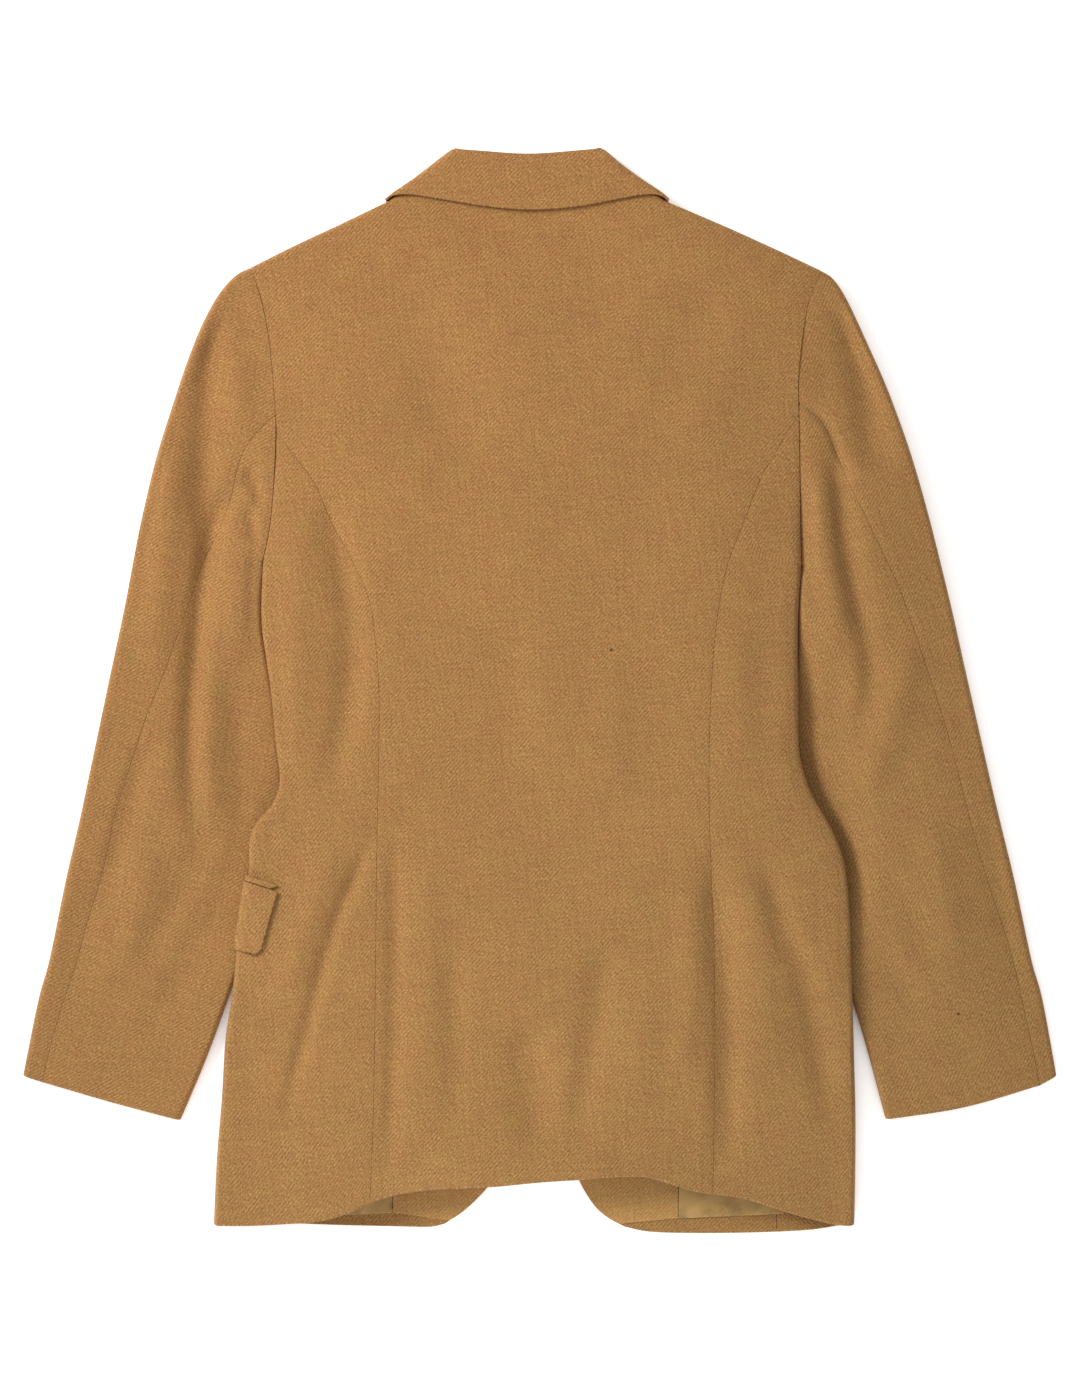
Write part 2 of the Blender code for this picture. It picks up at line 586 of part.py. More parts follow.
def build_facing(side):
    """The facing inside a front's edge, seen below the back's hem."""
    edge = PATHS[side]["edge"]
    edge_run = run_of(edge, FACING_START, FACING_END, FACING_ROWS)
    starts = [spot + np.array([CROSS[side] * FACING_SET, 0]) for spot in edge_run]
    ends = [np.array([FACING_INNER[side], spot[1]]) for spot in starts]
    grid = raised(rows_between(starts, ends, FACING_COLUMNS), lambda p: inside_front(side, p))
    add_sheet(f"facing_{side}", [grid], CAMEL_DARK, (0, 0, 1), clear=FLAP_GAP + CLOTH)


def build_lining(side):
    """The lining at the front hem, inside the back's arch."""
    first, last, hem_line = LININGS[side]
    rows = [[np.array([x, y]) for x in np.linspace(first, last, LINING_COLUMNS)]
            for y in np.linspace(hem_line, hem_line + LINING_REACH, LINING_ROWS)]
    grid = raised(rows, lambda p: inside_front(side, p))
    add_sheet(f"lining_{side}", [grid], LINING_OLIVE, (0, 0, 1), wall=LINING_WALL,
              clear=LAY_GAP + LINING_WALL, roughness=SATIN_ROUGHNESS)


# ---------------------------------------------------------------- sleeves

def sleeve_point(side, spot, layer):
    """A point of a sleeve's outer face; at the armhole it meets the body's height."""
    x, y = spot
    p = PATHS[side]
    along = np.array(SLEEVE_TOPS)
    own = np.interp(-y, -along[:, 0], along[:, 1])
    from_inner = distance_to(p["inner"].points, spot)
    from_outer = distance_to(p["outer"].points, spot)
    tucked = (1 - smoothstep(*TUCK_LEVELS, y)) * (1 - smoothstep(*TUCK_REACH, from_inner))
    own = own - (own - min(own, SLEEVE_TUCK_TOP)) * tucked
    top_blend = smoothstep(0.0, TOP_BLEND, distance_to(p["arm"].points, spot))
    low_blend = smoothstep(0.0, LOW_BLEND, distance_to(p["low_arm"].points, spot))
    top = body_top(x, y) * (1 - top_blend) + own * top_blend
    low = body_low(x, y) * (1 - low_blend)
    opened = rounding(min(from_outer, from_inner))
    middle = 0.5 * (top + low)
    return np.array([x, y, middle + layer * opened * 0.5 * (top - low)])


def eased(run, side):
    """Armhole stations moved clear of the body, most at the underarm end."""
    moves = CROSS[side] * np.linspace(*ARM_EASE, len(run))
    return [spot + np.array([move, 0]) for spot, move in zip(run, moves)]


def build_sleeve(side):
    """A two-piece sleeve: the top sleeve and the under sleeve, joined at hind and fore seams."""
    run, p = body_runs(side), PATHS[side]
    hind_u = share_at_level(p["hind"], UNDERARM_LEVEL)
    outer_j = share_at_level(p["outer"], CAP_LEVEL)
    outer_u = share_at_level(p["outer"], UNDERARM_LEVEL)
    fore_u = share_at_level(p["fore"], UNDERARM_LEVEL)
    arm_low_part = eased(chain(run["notch"], run["scye"]), side)
    front_part = eased(run["low_scye"], side)
    hind = chain(run_of(p["hind"], 0, hind_u, HIND_ROWS), run_of(p["hind"], hind_u, 1, SLEEVE_ROWS))
    fore = chain(run_of(p["fore"], 0, fore_u, FORE_ROWS), run_of(p["fore"], fore_u, 1, SLEEVE_ROWS))
    fold = run_of(p["inner"], 0, 1, SLEEVE_ROWS)
    outer = chain(run_of(p["outer"], 0, outer_j, CAP_ROWS, fine_start=True),
                  run_of(p["outer"], outer_j, outer_u, HIND_ROWS),
                  run_of(p["outer"], outer_u, 1, SLEEVE_ROWS))
    hind[0] = run["cap"][-1]
    fore[0] = run["low_cap"][-1]
    over = rows_between(outer[TIP_ROWS:], chain(run["cap"], hind)[TIP_ROWS:],
                        TOP_SLEEVE_COLUMNS, True)
    under = rows_between(outer[TIP_ROWS:], chain(run["low_cap"], fore)[TIP_ROWS:],
                         TOP_SLEEVE_COLUMNS + 1, True)
    grids = [raised(over, lambda s: sleeve_point(side, s, 1)),
             raised(under, lambda s: sleeve_point(side, s, -1))]
    add_sheet(f"sleeve_top_{side}", grids, CAMEL, (CROSS[side], 0, 0))
    arm_low_part[0] = hind[0]
    front_part[0] = fore[0]
    edge = chain(arm_low_part, [arm_low_part[-1]] + fold[1:])[::-1]
    low_edge = chain(front_part, [front_part[-1]] + fold[1:])[::-1]
    hind, fore = hind[::-1], fore[::-1]
    blunt(edge, hind)
    blunt(low_edge, fore)
    over = rows_between(edge, hind, UNDER_SLEEVE_COLUMNS, True)
    under = rows_between(low_edge, fore, UNDER_SLEEVE_COLUMNS - 1, True)
    grids = [raised(over, lambda s: sleeve_point(side, s, 1)),
             raised(under, lambda s: sleeve_point(side, s, -1))]
    add_sheet(f"sleeve_under_{side}", grids, CAMEL, (0, 0, 1))


def share_at_level(path, level):
    """The share of a path's length where it first comes down to a level."""
    shares = np.linspace(0, 1, 1201)
    heights = np.array([path(t)[1] for t in shares])
    return shares[np.argmax(heights <= level)]


# ---------------------------------------------------------------- collar, pockets and buttons

def build_collar():
    """The collar leaf: down over the back neck, then round each side to the notch."""
    folds = [curve([ROLL_LINE[0], LEAF_EDGE[0]]), curve([ROLL_LINE[-1], LEAF_EDGE[-1]])]

    def leaf_point(p, layer):
        top = max(body_top(*p), LEAF_LEVEL) + LAY_GAP + CLOTH
        low = LOW_BASE - LAY_GAP - CLOTH
        opened = rounding(min(distance_to(f.points, p) for f in folds))
        near_roll = 1 - smoothstep(0, ROLL_REACH, distance_to(curve(ROLL_LINE).points, p))
        drop = ROLL_DROP * near_roll * opened if layer > 0 else 0.0
        middle = 0.5 * (top + low)
        return np.array([p[0], p[1], middle + layer * opened * 0.5 * (top - low) - drop])

    left, right = [run_of(f, 0, 1, LEAF_ROWS) for f in folds]
    width = np.linalg.norm(left[0] - right[0])
    shares = [0, FOLD_EASE / width, FOLD_RADIUS / width]
    across = shares + list(np.linspace(*LEAF_SPAN, LEAF_COLUMNS)) + [1 - s for s in shares[::-1]]
    roll, edge = curve(ROLL_LINE), curve(LEAF_EDGE)
    back_rows = []
    for k in range(LEAF_ROWS + 1):
        v = k / LEAF_ROWS
        row = []
        for u in across:
            bend = (roll(u) - roll(0) * (1 - u) - roll(1) * u) * (1 - v)
            bend = bend + (edge(u) - edge(0) * (1 - u) - edge(1) * u) * v
            row.append(left[k] * (1 - u) + right[k] * u + bend)
        back_rows.append(row)
    grids = [raised(back_rows, lambda p: leaf_point(p, 1))]
    for start, table in ((left, LEAF_WINGS["left"]), (right, LEAF_WINGS["right"])):
        end = run_of(curve(table), 0, 1, LEAF_ROWS)
        rows = rows_between(start, end, WING_COLUMNS, True)
        grids.append(raised(rows, lambda p: leaf_point(p, -1)))
    add_sheet("collar_leaf", grids, CAMEL, (0, 0, 1))


def build_stand():
    """The collar stand inside the leaf: from the back neck seam up to the roll line."""
    neck_run = run_of(curve(BACK_NECK), *STAND_NECK_SPAN, STAND_ROWS)
    roll_run = run_of(curve(ROLL_LINE), *STAND_ROLL_SPAN, STAND_ROWS)
    neck = [spot + np.array([0, STAND_ABOVE_NECK]) for spot in neck_run]
    roll = [spot - np.array([0, STAND_BELOW_ROLL]) for spot in roll_run]
    grid = raised(rows_between(neck, roll, STAND_COLUMNS), lambda p: np.array([p[0], p[1], STAND_HEIGHT]))
    add_sheet("collar_stand", [grid], CAMEL_DARK, (0, 0, 1))


def pocket_grids(side, start, depth, steps):
    """Points of the body's outer face under a flap or a jet, round the side fold."""
    fold = PATHS[side]["fold"].points
    inward = -CROSS[side]
    wraps = FLAP_WRAP[side] > 0
    top_rows, low_rows = [], []
    for v in np.linspace(0, 1, steps + 1):
        y = start - depth * v
        x = np.interp(-y, -fold[:, 1], fold[:, 0])
        reach = FLAP_WRAP[side] - FLAP_LEAN * v
        near = [0.0, FOLD_EASE, FOLD_RADIUS]
        if wraps:
            top_rows.append([np.array([x + inward * s, y - FLAP_SLOPE * s])
                             for s in near + [0.5 * (reach + FOLD_RADIUS), reach]])
        starts = near if wraps else [FLAP_INSET]
        low_rows.append([np.array([x + inward * s, y])
                         for s in starts + list(np.linspace(starts[-1] + FLAP_EASE, FLAP_REACH,
                                                            FLAP_COLUMNS))])
    grids = [raised(low_rows, lambda p: body_point(p, -1))]
    if wraps:
        grids.append(raised(top_rows, lambda p: body_point(p, 1)))
    return grids


def build_pocket(side):
    """A jetted pocket: the jet above and the flap hanging below it."""
    direction = (CROSS[side], 0, 0) if FLAP_WRAP[side] > 0 else (0, 0, -1)
    start = POCKET_LEVEL[side]
    flap = pocket_grids(side, start - FLAP_BELOW, POCKET_FLAP_DEPTH, FLAP_ROWS)
    add_sheet(f"flap_{side}", flap, CAMEL, direction, clear=FLAP_GAP + CLOTH)
    jet = pocket_grids(side, start + JET_DEPTH + JET_ABOVE, JET_DEPTH, 1)
    add_sheet(f"flap_jet_{side}", jet, CAMEL_DARK, direction, wall=JET_WALL,
              clear=FLAP_GAP + JET_WALL)


def build_buttons():
    """Three buttons on the closing, under the right front."""
    for number in range(BUTTON_COUNT):
        centre = np.array([CENTRE_FRONT, BUTTON_TOP - BUTTON_STEP * number, BUTTON_REST])
        points = []
        for share, height in BUTTON_PROFILE:
            for k in range(BUTTON_SIDES):
                angle = 2 * np.pi * k / BUTTON_SIDES
                reach = BUTTON_RADIUS * share
                points.append(centre + (reach * np.cos(angle), reach * np.sin(angle), height))
        rings = len(BUTTON_PROFILE)
        faces = [tuple(range(BUTTON_SIDES))[::-1],
                 tuple((rings - 1) * BUTTON_SIDES + k for k in range(BUTTON_SIDES))]
        for ring in range(rings - 1):
            for k in range(BUTTON_SIDES):
                a = ring * BUTTON_SIDES + k
                b = ring * BUTTON_SIDES + (k + 1) % BUTTON_SIDES
                faces.append((a, b, b + BUTTON_SIDES, a + BUTTON_SIDES))
        add_object(f"button_{number + 1}", points, faces, HORN_BROWN, HORN_ROUGHNESS)


def main():
    """Clear the scene and build every piece."""
    for old in list(bpy.data.objects):
        bpy.data.objects.remove(old, do_unlink=True)
    build_back()
    for side in SIDES:
        build_side(side)
        build_front(side)
        build_lapel(side)
        build_facing(side)
        build_lining(side)
        build_sleeve(side)
        build_pocket(side)
    build_collar()
    build_stand()
    build_buttons()


main()
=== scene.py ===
# %% [markdown]
# # A camel blazer laid flat, back up
# This lesson dresses a tailored jacket. The cloth pieces already exist as plain solids; here each
# one becomes a thin, softly creased shell of wool whipcord, cut on its own grain.
# The solids come first, so that every piece stays where the pattern cutter put it.

# %% Load the frame
import math

import bmesh
import bpy
import mathutils
import numpy as np
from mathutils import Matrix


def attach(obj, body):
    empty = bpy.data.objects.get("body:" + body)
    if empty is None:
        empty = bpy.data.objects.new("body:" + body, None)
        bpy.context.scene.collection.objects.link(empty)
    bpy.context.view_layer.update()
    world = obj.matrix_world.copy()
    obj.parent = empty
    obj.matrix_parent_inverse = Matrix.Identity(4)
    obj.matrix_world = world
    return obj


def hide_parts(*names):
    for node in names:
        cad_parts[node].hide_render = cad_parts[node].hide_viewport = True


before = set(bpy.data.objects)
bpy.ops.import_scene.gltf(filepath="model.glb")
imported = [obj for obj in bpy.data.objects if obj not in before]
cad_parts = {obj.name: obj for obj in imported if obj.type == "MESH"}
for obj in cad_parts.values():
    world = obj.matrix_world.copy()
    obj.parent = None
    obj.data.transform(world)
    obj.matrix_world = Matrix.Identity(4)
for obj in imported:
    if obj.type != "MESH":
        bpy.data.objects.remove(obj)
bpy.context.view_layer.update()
MM = 0.001

# %% [markdown]
# ## The pattern in plan
# A cutter draws a jacket as seams. Each seam, fold and hem of the laid garment is one short table
# of X, Y in millimetres, and a smooth path runs through it. Neighbouring pieces read the same path,
# so a seam can't open: that is why the seams are drawn and not the pieces.

# %% Seams and folds of the body
SHOULDERS = dict(
    left=[(-214, 312.5), (-178, 330.4), (-144, 346), (-113.4, 360.4), (-106.8, 364.9), (-97, 370),
          (-83, 379)],
    right=[(208.5, 310), (174, 326.2), (137, 342.8), (94.4, 360.4), (88, 364.6), (78, 370.2), (63, 380)])
ARMHOLES = dict(
    left=[(-214, 312.5), (-206, 289), (-200, 259), (-196.2, 222), (-194.8, 191), (-196, 156),
          (-197.6, 134), (-200, 115), (-204.2, 95)],
    right=[(208.5, 310), (199, 289), (194, 263), (190.5, 230), (190.9, 203), (191.5, 164),
           (191.8, 137), (192.3, 110), (193, 91.5)])
FRONT_ARMHOLES = dict(
    left=[(-214, 312.5), (-199, 289), (-187, 259), (-179, 222), (-176, 191), (-178, 156),
          (-182, 134), (-190, 113), (-204.2, 95)],
    right=[(208.5, 310), (193, 289), (181, 263), (173, 230), (170, 203), (172, 164), (175, 137),
           (181, 112), (193, 91.5)])
SIDE_FOLDS = dict(
    left=[(-204.2, 95), (-205.6, 67), (-205, 45), (-201.5, 21), (-197.6, -7), (-194.6, -40),
          (-191.8, -66), (-196.8, -83), (-210, -99), (-214.4, -113), (-214.8, -133), (-219, -159),
          (-224, -196), (-227.2, -225), (-232.4, -259), (-235.4, -303), (-239, -347), (-241.2, -395)],
    right=[(193, 91.5), (191, 60), (190.2, 23), (190.2, -15), (191, -42), (194.6, -60),
           (201.3, -78), (212.4, -97), (220.5, -114), (225.7, -134), (228.7, -169), (229.6, -199),
           (231.6, -259), (233.1, -303), (233.2, -347), (232.4, -395)])
PRINCESS_SEAMS = dict(
    left=[(-194.8, 191), (-177, 167.6), (-164.3, 149), (-153, 122.5), (-139, 96.6), (-126, 67),
          (-120.6, 30), (-118.4, -7), (-119, -66), (-120, -108), (-120.6, -160), (-121, -201),
          (-122.4, -303), (-125.1, -377.4)],
    right=[(190.9, 203), (182.8, 191.3), (171, 170.6), (162.8, 157), (149.5, 122.5), (137, 89),
           (129.5, 45), (125.8, -7), (124.4, -71), (126, -128), (128.4, -182), (128.8, -232),
           (128.6, -295), (127.3, -371)])
FRONT_SEAMS = dict(
    left=[(-182, 134), (-168, 105), (-160, 60), (-155, 0), (-153, -60), (-160, -120), (-170, -200),
          (-176, -300), (-179, -395.6)],
    right=[(175, 137), (164, 105), (157, 60), (152, 0), (150, -60), (158, -120), (168, -200),
           (173, -300), (176, -401.6)])
FRONT_EDGES = dict(
    left=[(14, 92), (14, -30), (14, -125), (10, -190), (0, -255), (-15, -315), (-30, -352),
          (-38.5, -367.4), (-46.6, -377), (-57.7, -387.2), (-71, -395.8)],
    right=[(-22, 92), (-22, -30), (-22, -125), (-18, -190), (-8, -255), (8, -315), (22, -350),
           (29, -362.2), (34, -372), (42.2, -384.2), (51, -391.8), (63, -398)])
BACK_NECK = [(-83, 379), (-60, 368), (-35, 362), (-8, 360.5), (20, 362), (45, 368), (63, 380)]
print("body seams", sum(len(t) for t in (SHOULDERS, ARMHOLES, SIDE_FOLDS, PRINCESS_SEAMS)))

# %% Hems of the body
BACK_HEM = [(-125.1, -377.4), (-106, -371.2), (-82, -367.2), (-58, -365.6), (-30, -364),
            (0, -361), (29, -359), (51, -357.4), (75, -357.3), (92.5, -361.7), (111, -368),
            (127.3, -371)]
SIDE_HEMS = dict(
    left=[(-125.1, -377.4), (-138.4, -384), (-162, -391), (-189, -393.4), (-215, -394.8),
          (-241.2, -395)],
    right=[(127.3, -371), (144.3, -373), (161.3, -377.6), (180, -384), (200.5, -390),
           (219, -394.2), (232.4, -395)])
SIDE_LOW_HEMS = dict(left=[(-241.2, -395), (-215, -395.3), (-179, -395.6)],
                     right=[(232.4, -395), (203.5, -399.8), (176, -401.6)])
FRONT_HEMS = dict(
    left=[(-179, -395.6), (-150, -396.7), (-110, -397.6), (-82, -398), (-71, -395.8)],
    right=[(176, -401.6), (150, -402.4), (110, -402.6), (81, -401.6), (63, -398)])

# %% Seams and folds of the sleeves
SLEEVE_OUTERS = dict(
    left=[(-214, 312.5), (-226, 306), (-240, 289), (-254.6, 259.4), (-270.2, 215), (-287.8, 156),
          (-305.6, 67), (-318.2, 8), (-337.2, -81), (-351, -140), (-363.3, -199.4), (-371.5, -229),
          (-383, -285.4)],
    right=[(208.5, 310), (217, 304), (226.9, 289), (240.9, 259.4), (260.1, 215), (280.1, 156),
           (302.9, 67), (316.4, 8), (336.9, -81), (351.3, -140), (364.1, -199.4), (372.3, -229),
           (382.8, -285.8)])
SLEEVE_INNERS = dict(
    left=[(-204.2, 95), (-205.8, 67), (-205, 45), (-201.2, 21), (-197, -7), (-193.6, -40),
          (-190.6, -67), (-191, -99), (-196, -133), (-206, -164), (-217, -192), (-228.4, -222),
          (-247.4, -273.4), (-266.4, -318.5)],
    right=[(193, 91.5), (191.2, 60), (190.4, 23), (190, -15), (190.4, -42), (191.4, -60), (193, -81),
           (196, -110), (201.5, -140), (209, -170), (219, -199.4), (231, -229), (242.2, -266),
           (256, -317.8)])
HIND_SEAMS = dict(
    left=[(-195.4, 203), (-211, 187.6), (-221, 170.6), (-227, 147), (-236, 121), (-248, 96.6),
          (-260.5, 59.6), (-277, 14), (-290, -18), (-304.9, -62.5), (-315, -96), (-323, -133),
          (-334.5, -170), (-343.4, -203), (-352, -229), (-361, -259), (-368.5, -289.9)],
    right=[(190.9, 212), (208, 198), (217, 179.4), (228, 152), (240, 128), (252, 103), (264, 78),
           (275, 48), (286, 15), (297, -18), (306.4, -51.4), (315, -85), (324, -118), (337, -159),
           (348, -192), (356.7, -229), (366.4, -273.4), (370, -292.6)])
FORE_SEAMS = dict(
    left=[(-182, 134), (-201, 127), (-217, 110), (-229, 84), (-234, 40), (-229, -20), (-227, -66),
          (-231, -133), (-250, -192), (-262, -225), (-301, -309.9)],
    right=[(175, 137), (191, 130), (206, 112), (217, 84), (222, 40), (221, -20), (222, -66),
           (230, -133), (244, -192), (258, -229), (292, -312.4)])
CAP_LEVEL = 222.0
UNDERARM_LEVEL = 88.0

# %% Collar, lapels, facings, lining and pockets
ROLL_LINE = [(-62, 399.6), (-44, 398.2), (-8, 396), (30, 398.6), (43.6, 399.9)]
LEAF_FOLDS = dict(left=[(-62, 399.6), (-65.5, 397.8), (-70.4, 394.4), (-78.2, 388), (-91, 377.4),
                        (-102.2, 369.6), (-108.6, 365.2), (-113.4, 361.2)],
                  right=[(43.6, 399.9), (47.6, 398), (52.5, 393.8), (60.6, 386.6), (74.6, 375.8),
                         (86.6, 367.8), (91, 364.6), (94.4, 361.1)])
LEAF_EDGE = [(-113.4, 361.2), (-110.6, 363.4), (-106.8, 364.7), (-100, 365.5), (-91, 364.9),
             (-81.6, 363.3), (-60.7, 359.9), (-37, 356.2), (-8, 354.1), (27.4, 356.4), (59.2, 362.3),
             (74, 365), (81, 365.6), (86, 365.2), (90.6, 363.4), (94.4, 361.1)]
LEAF_WINGS = dict(left=[(-63, 307), (-84, 301), (-105, 296)], right=[(50, 307), (68, 301), (86, 296)])
ROLLS = dict(left=[(-63, 305), (-35, 210), (14, 92)], right=[(50, 305), (25, 210), (-22, 92)])
LAPEL_EDGES = dict(left=[(-131, 281), (-96, 190), (6, 92)], right=[(113, 281), (82, 190), (-14, 92)])
GORGES = dict(left=[(-63, 305), (-99, 291), (-131, 281)], right=[(50, 305), (84, 291), (113, 281)])
LAPEL_SHARE = 0.79
FACING_INNER = dict(left=-109.2, right=102.5)
FACING_START = 0.745
LININGS = dict(left=(-168.0, -109.4, -389.8), right=(102.7, 181.0, -391.5))
LINING_REACH = 62.0
FLAP_WRAP = dict(left=23.0, right=0.0)
POCKET_LEVELS = dict(left=-140.5, right=-143.0)
FLAP_DEPTH, FLAP_REACH, FLAP_LEAN, FLAP_SLOPE, FLAP_INSET = 50.0, 118.0, 6.0, 0.34, 9.0
JET_DEPTH = 4.2

# %% [markdown]
# ## Paths and distances
# A Catmull-Rom curve passes through every point of its table, which suits a seam measured at a few
# places. The helpers below give a place on a path, the stretch between two shares of it, and the
# distance from many spots to a path at once, which later places each crease.

# %% Path helpers
SIDES = ("left", "right")
CROSS = dict(left=-1.0, right=1.0)
FOLD_RADIUS = 4.0
FOLD_STEPS = 5
CURVE_STEPS = 8
LEVEL_MARKS = 1201


def smoothstep(low, high, value):
    """Rise from 0 to 1 between low and high, flat at both ends."""
    t = np.clip((value - low) / (high - low), 0.0, 1.0)
    return t * t * (3.0 - 2.0 * t)


def band(rise, fall, value):
    """1 between a rise and a fall, and fading over each."""
    return smoothstep(*rise, value) * (1 - smoothstep(*fall, value))


def smooth(points):
    """Dense points of a smooth path through a table."""
    p = np.array(points, float)
    if len(p) < 3:
        return p
    padded = np.vstack([2 * p[0] - p[1], p, 2 * p[-1] - p[-2]])
    t = np.linspace(0, 1, CURVE_STEPS + 1)[:-1, None]
    runs = [0.5 * (2 * b + (c - a) * t + (2 * a - 5 * b + 4 * c - d) * t ** 2
                   + (3 * b - a - 3 * c + d) * t ** 3)
            for a, b, c, d in zip(padded, padded[1:], padded[2:], padded[3:])]
    return np.vstack(runs + [p[-1:]])


def length_shares(path):
    """The share of the path's length at each of its points, and that length."""
    steps = np.linalg.norm(np.diff(path, axis=0), axis=1)
    length = np.concatenate([[0], np.cumsum(steps)])
    return length / length[-1], length[-1]


def along(path, shares):
    """Places on a path at shares of its length."""
    own, _ = length_shares(path)
    return np.stack([np.interp(shares, own, path[:, i]) for i in (0, 1)], axis=-1)


def distance_to(path, spots):
    """Plan distance from spots to a path, and the share of the path nearest to each."""
    spots = np.asarray(spots, float)
    flat = spots.reshape(-1, 2)
    best = np.full(len(flat), np.inf)
    where = np.zeros(len(flat))
    own, _ = length_shares(path)
    for i in range(len(path) - 1):
        run = path[i + 1] - path[i]
        size = run @ run
        if not size:
            continue
        t = np.clip((flat - path[i]) @ run / size, 0, 1)
        gap = np.linalg.norm(path[i] + t[:, None] * run - flat, axis=1)
        near = gap < best
        best[near] = gap[near]
        where[near] = (own[i] + (own[i + 1] - own[i]) * t)[near]
    return best.reshape(spots.shape[:-1]), where.reshape(spots.shape[:-1])


def share_near(path, spot):
    """The share of a path at the place nearest one spot."""
    return float(distance_to(path, np.array([spot], float))[1][0])


def share_at_level(path, level):
    """The share where a path first comes down to a level."""
    shares = np.linspace(0, 1, LEVEL_MARKS)
    return shares[np.argmax(along(path, shares)[:, 1] <= level)]


def fold_distances():
    """Distances in from a fold that follow its quarter round evenly."""
    return FOLD_RADIUS * (1 - np.cos(np.radians(np.linspace(0, 90, FOLD_STEPS + 1))))


def run_of(path, start, end, steps, fine_start=False, fine_end=False):
    """Stations along a path between two shares, closer where a fold begins or ends."""
    step = (end - start) / (length_shares(path)[1] * abs(end - start))
    first = fold_distances() * step if fine_start else np.array([0.0])
    last = fold_distances()[::-1] * step if fine_end else np.array([0.0])
    middle = np.linspace(start + first[-1], end - last[0], steps + 1)
    shares = np.concatenate([start + first[:-1], middle, end - last[1:]])
    return along(path, shares)


def chain(*runs):
    """One list of stations from several that share their end points."""
    return np.vstack([runs[0]] + [run[1:] for run in runs[1:]])


PATHS = {side: dict(
    arm=smooth(ARMHOLES[side]), low_arm=smooth(FRONT_ARMHOLES[side]), shoulder=smooth(SHOULDERS[side]),
    fold=smooth(SIDE_FOLDS[side]), princess=smooth(PRINCESS_SEAMS[side]),
    front_seam=smooth(FRONT_SEAMS[side]), edge=smooth(FRONT_EDGES[side]), hem=smooth(SIDE_HEMS[side]),
    low_hem=smooth(SIDE_LOW_HEMS[side]), front_hem=smooth(FRONT_HEMS[side]),
    outer=smooth(SLEEVE_OUTERS[side]), inner=smooth(SLEEVE_INNERS[side]),
    hind=smooth(HIND_SEAMS[side]), fore=smooth(FORE_SEAMS[side])) for side in SIDES}
print("armhole round, back half, mm:", [round(length_shares(PATHS[s]["arm"])[1]) for s in SIDES])

# %% [markdown]
# ## Heights: how a jacket lies
# Laid on its front, the jacket is a flat tube. The fronts touch the table at the hem and are lifted
# by lapels, buttons and sleeves further up; the back lies over them with a slight crown. Both
# layers meet in a rounded fold, which a quarter circle over the last 4 mm draws.

# %% Heights of the two layers
LOW_BASE, LOW_SIDE, SLEEVE_TUCK_TOP = 4.4, 12.8, 9.2
LOW_RISE = (-290, -200)
SIDE_RISE, SIDE_FALL, SIDE_SPREAD = (-292, -236), (-25, 75), (28, 85)
BACK_MIDDLE, BACK_HALF, CROWN_POWER = -5.0, 215.0, 2.4
HEM_LIFT, HEM_MIDDLE, HEM_LIFT_FALL, HEM_LIFT_SPREAD = 9.0, 5.0, (-385, -290), (20, 130)
CROWN = np.array([(-400, 27.0, 20.4), (-300, 25.5, 20.4), (-180, 24.5, 20.4), (-90, 22.5, 20.4),
                  (0, 24.0, 20.4), (120, 26.5, 20.0), (230, 25.0, 18.0), (320, 20.0, 15.0),
                  (400, 16.0, 13.0)])
SLEEVE_TOPS = np.array([(-316, 9.6), (-200, 11.5), (-100, 14.5), (0, 17.5), (120, 20.0), (250, 20.0)])


def rounding(distance):
    """How far a section has opened at this distance in from a fold."""
    inner = np.clip(1 - distance / FOLD_RADIUS, 0, 1)
    return np.sqrt(1 - inner * inner)


def body_top(x, y):
    """Height of the back's outer face."""
    middle = np.interp(y, CROWN[:, 0], CROWN[:, 1])
    edge = np.interp(y, CROWN[:, 0], CROWN[:, 2])
    across = np.clip(abs(x - BACK_MIDDLE) / BACK_HALF, 0, 1)
    lift = HEM_LIFT * (1 - smoothstep(*HEM_LIFT_FALL, y))
    lift = lift * (1 - smoothstep(*HEM_LIFT_SPREAD, abs(x - HEM_MIDDLE)))
    return edge + (middle - edge) * (1 - across ** CROWN_POWER) + lift


def body_low(x, y):
    """Height of the fronts' outer face."""
    left, right = PATHS["left"]["fold"], PATHS["right"]["fold"]
    inside = np.minimum(x - np.interp(-y, -left[:, 1], left[:, 0]),
                        np.interp(-y, -right[:, 1], right[:, 0]) - x)
    base = LOW_BASE * smoothstep(*LOW_RISE, y)
    side = band(SIDE_RISE, SIDE_FALL, y)
    return base + (LOW_SIDE - base) * side * (1 - smoothstep(*SIDE_SPREAD, np.maximum(inside, 0)))


# %% [markdown]
# ## Stations: the same marks on both sides of a seam
# A tailor matches notches before sewing. Here every seam is divided once, and both neighbours use
# those marks as the ends of their rows. The rows run across the cloth from seam to seam or from
# fold to seam, and marks crowd together where a fold turns, so that it looks round.

# %% Stations and rows
BODY_ROWS, SLEEVE_ROWS = 120, 100
BACK_COLUMNS, TOP_COLUMNS, LOW_COLUMNS, FRONT_COLUMNS = 90, 30, 26, 34
CAP_STEPS, NOTCH_STEPS, SCYE_STEPS, ARM_STEPS = 28, 3, 24, 32
LOW_CAP_STEPS = CAP_STEPS + NOTCH_STEPS
SEAM_STEPS = BODY_ROWS + SCYE_STEPS + FOLD_STEPS
TIP_BLUNT, TIP_ROWS = 0.3, 2
NARROWEST = 2.25 * FOLD_RADIUS


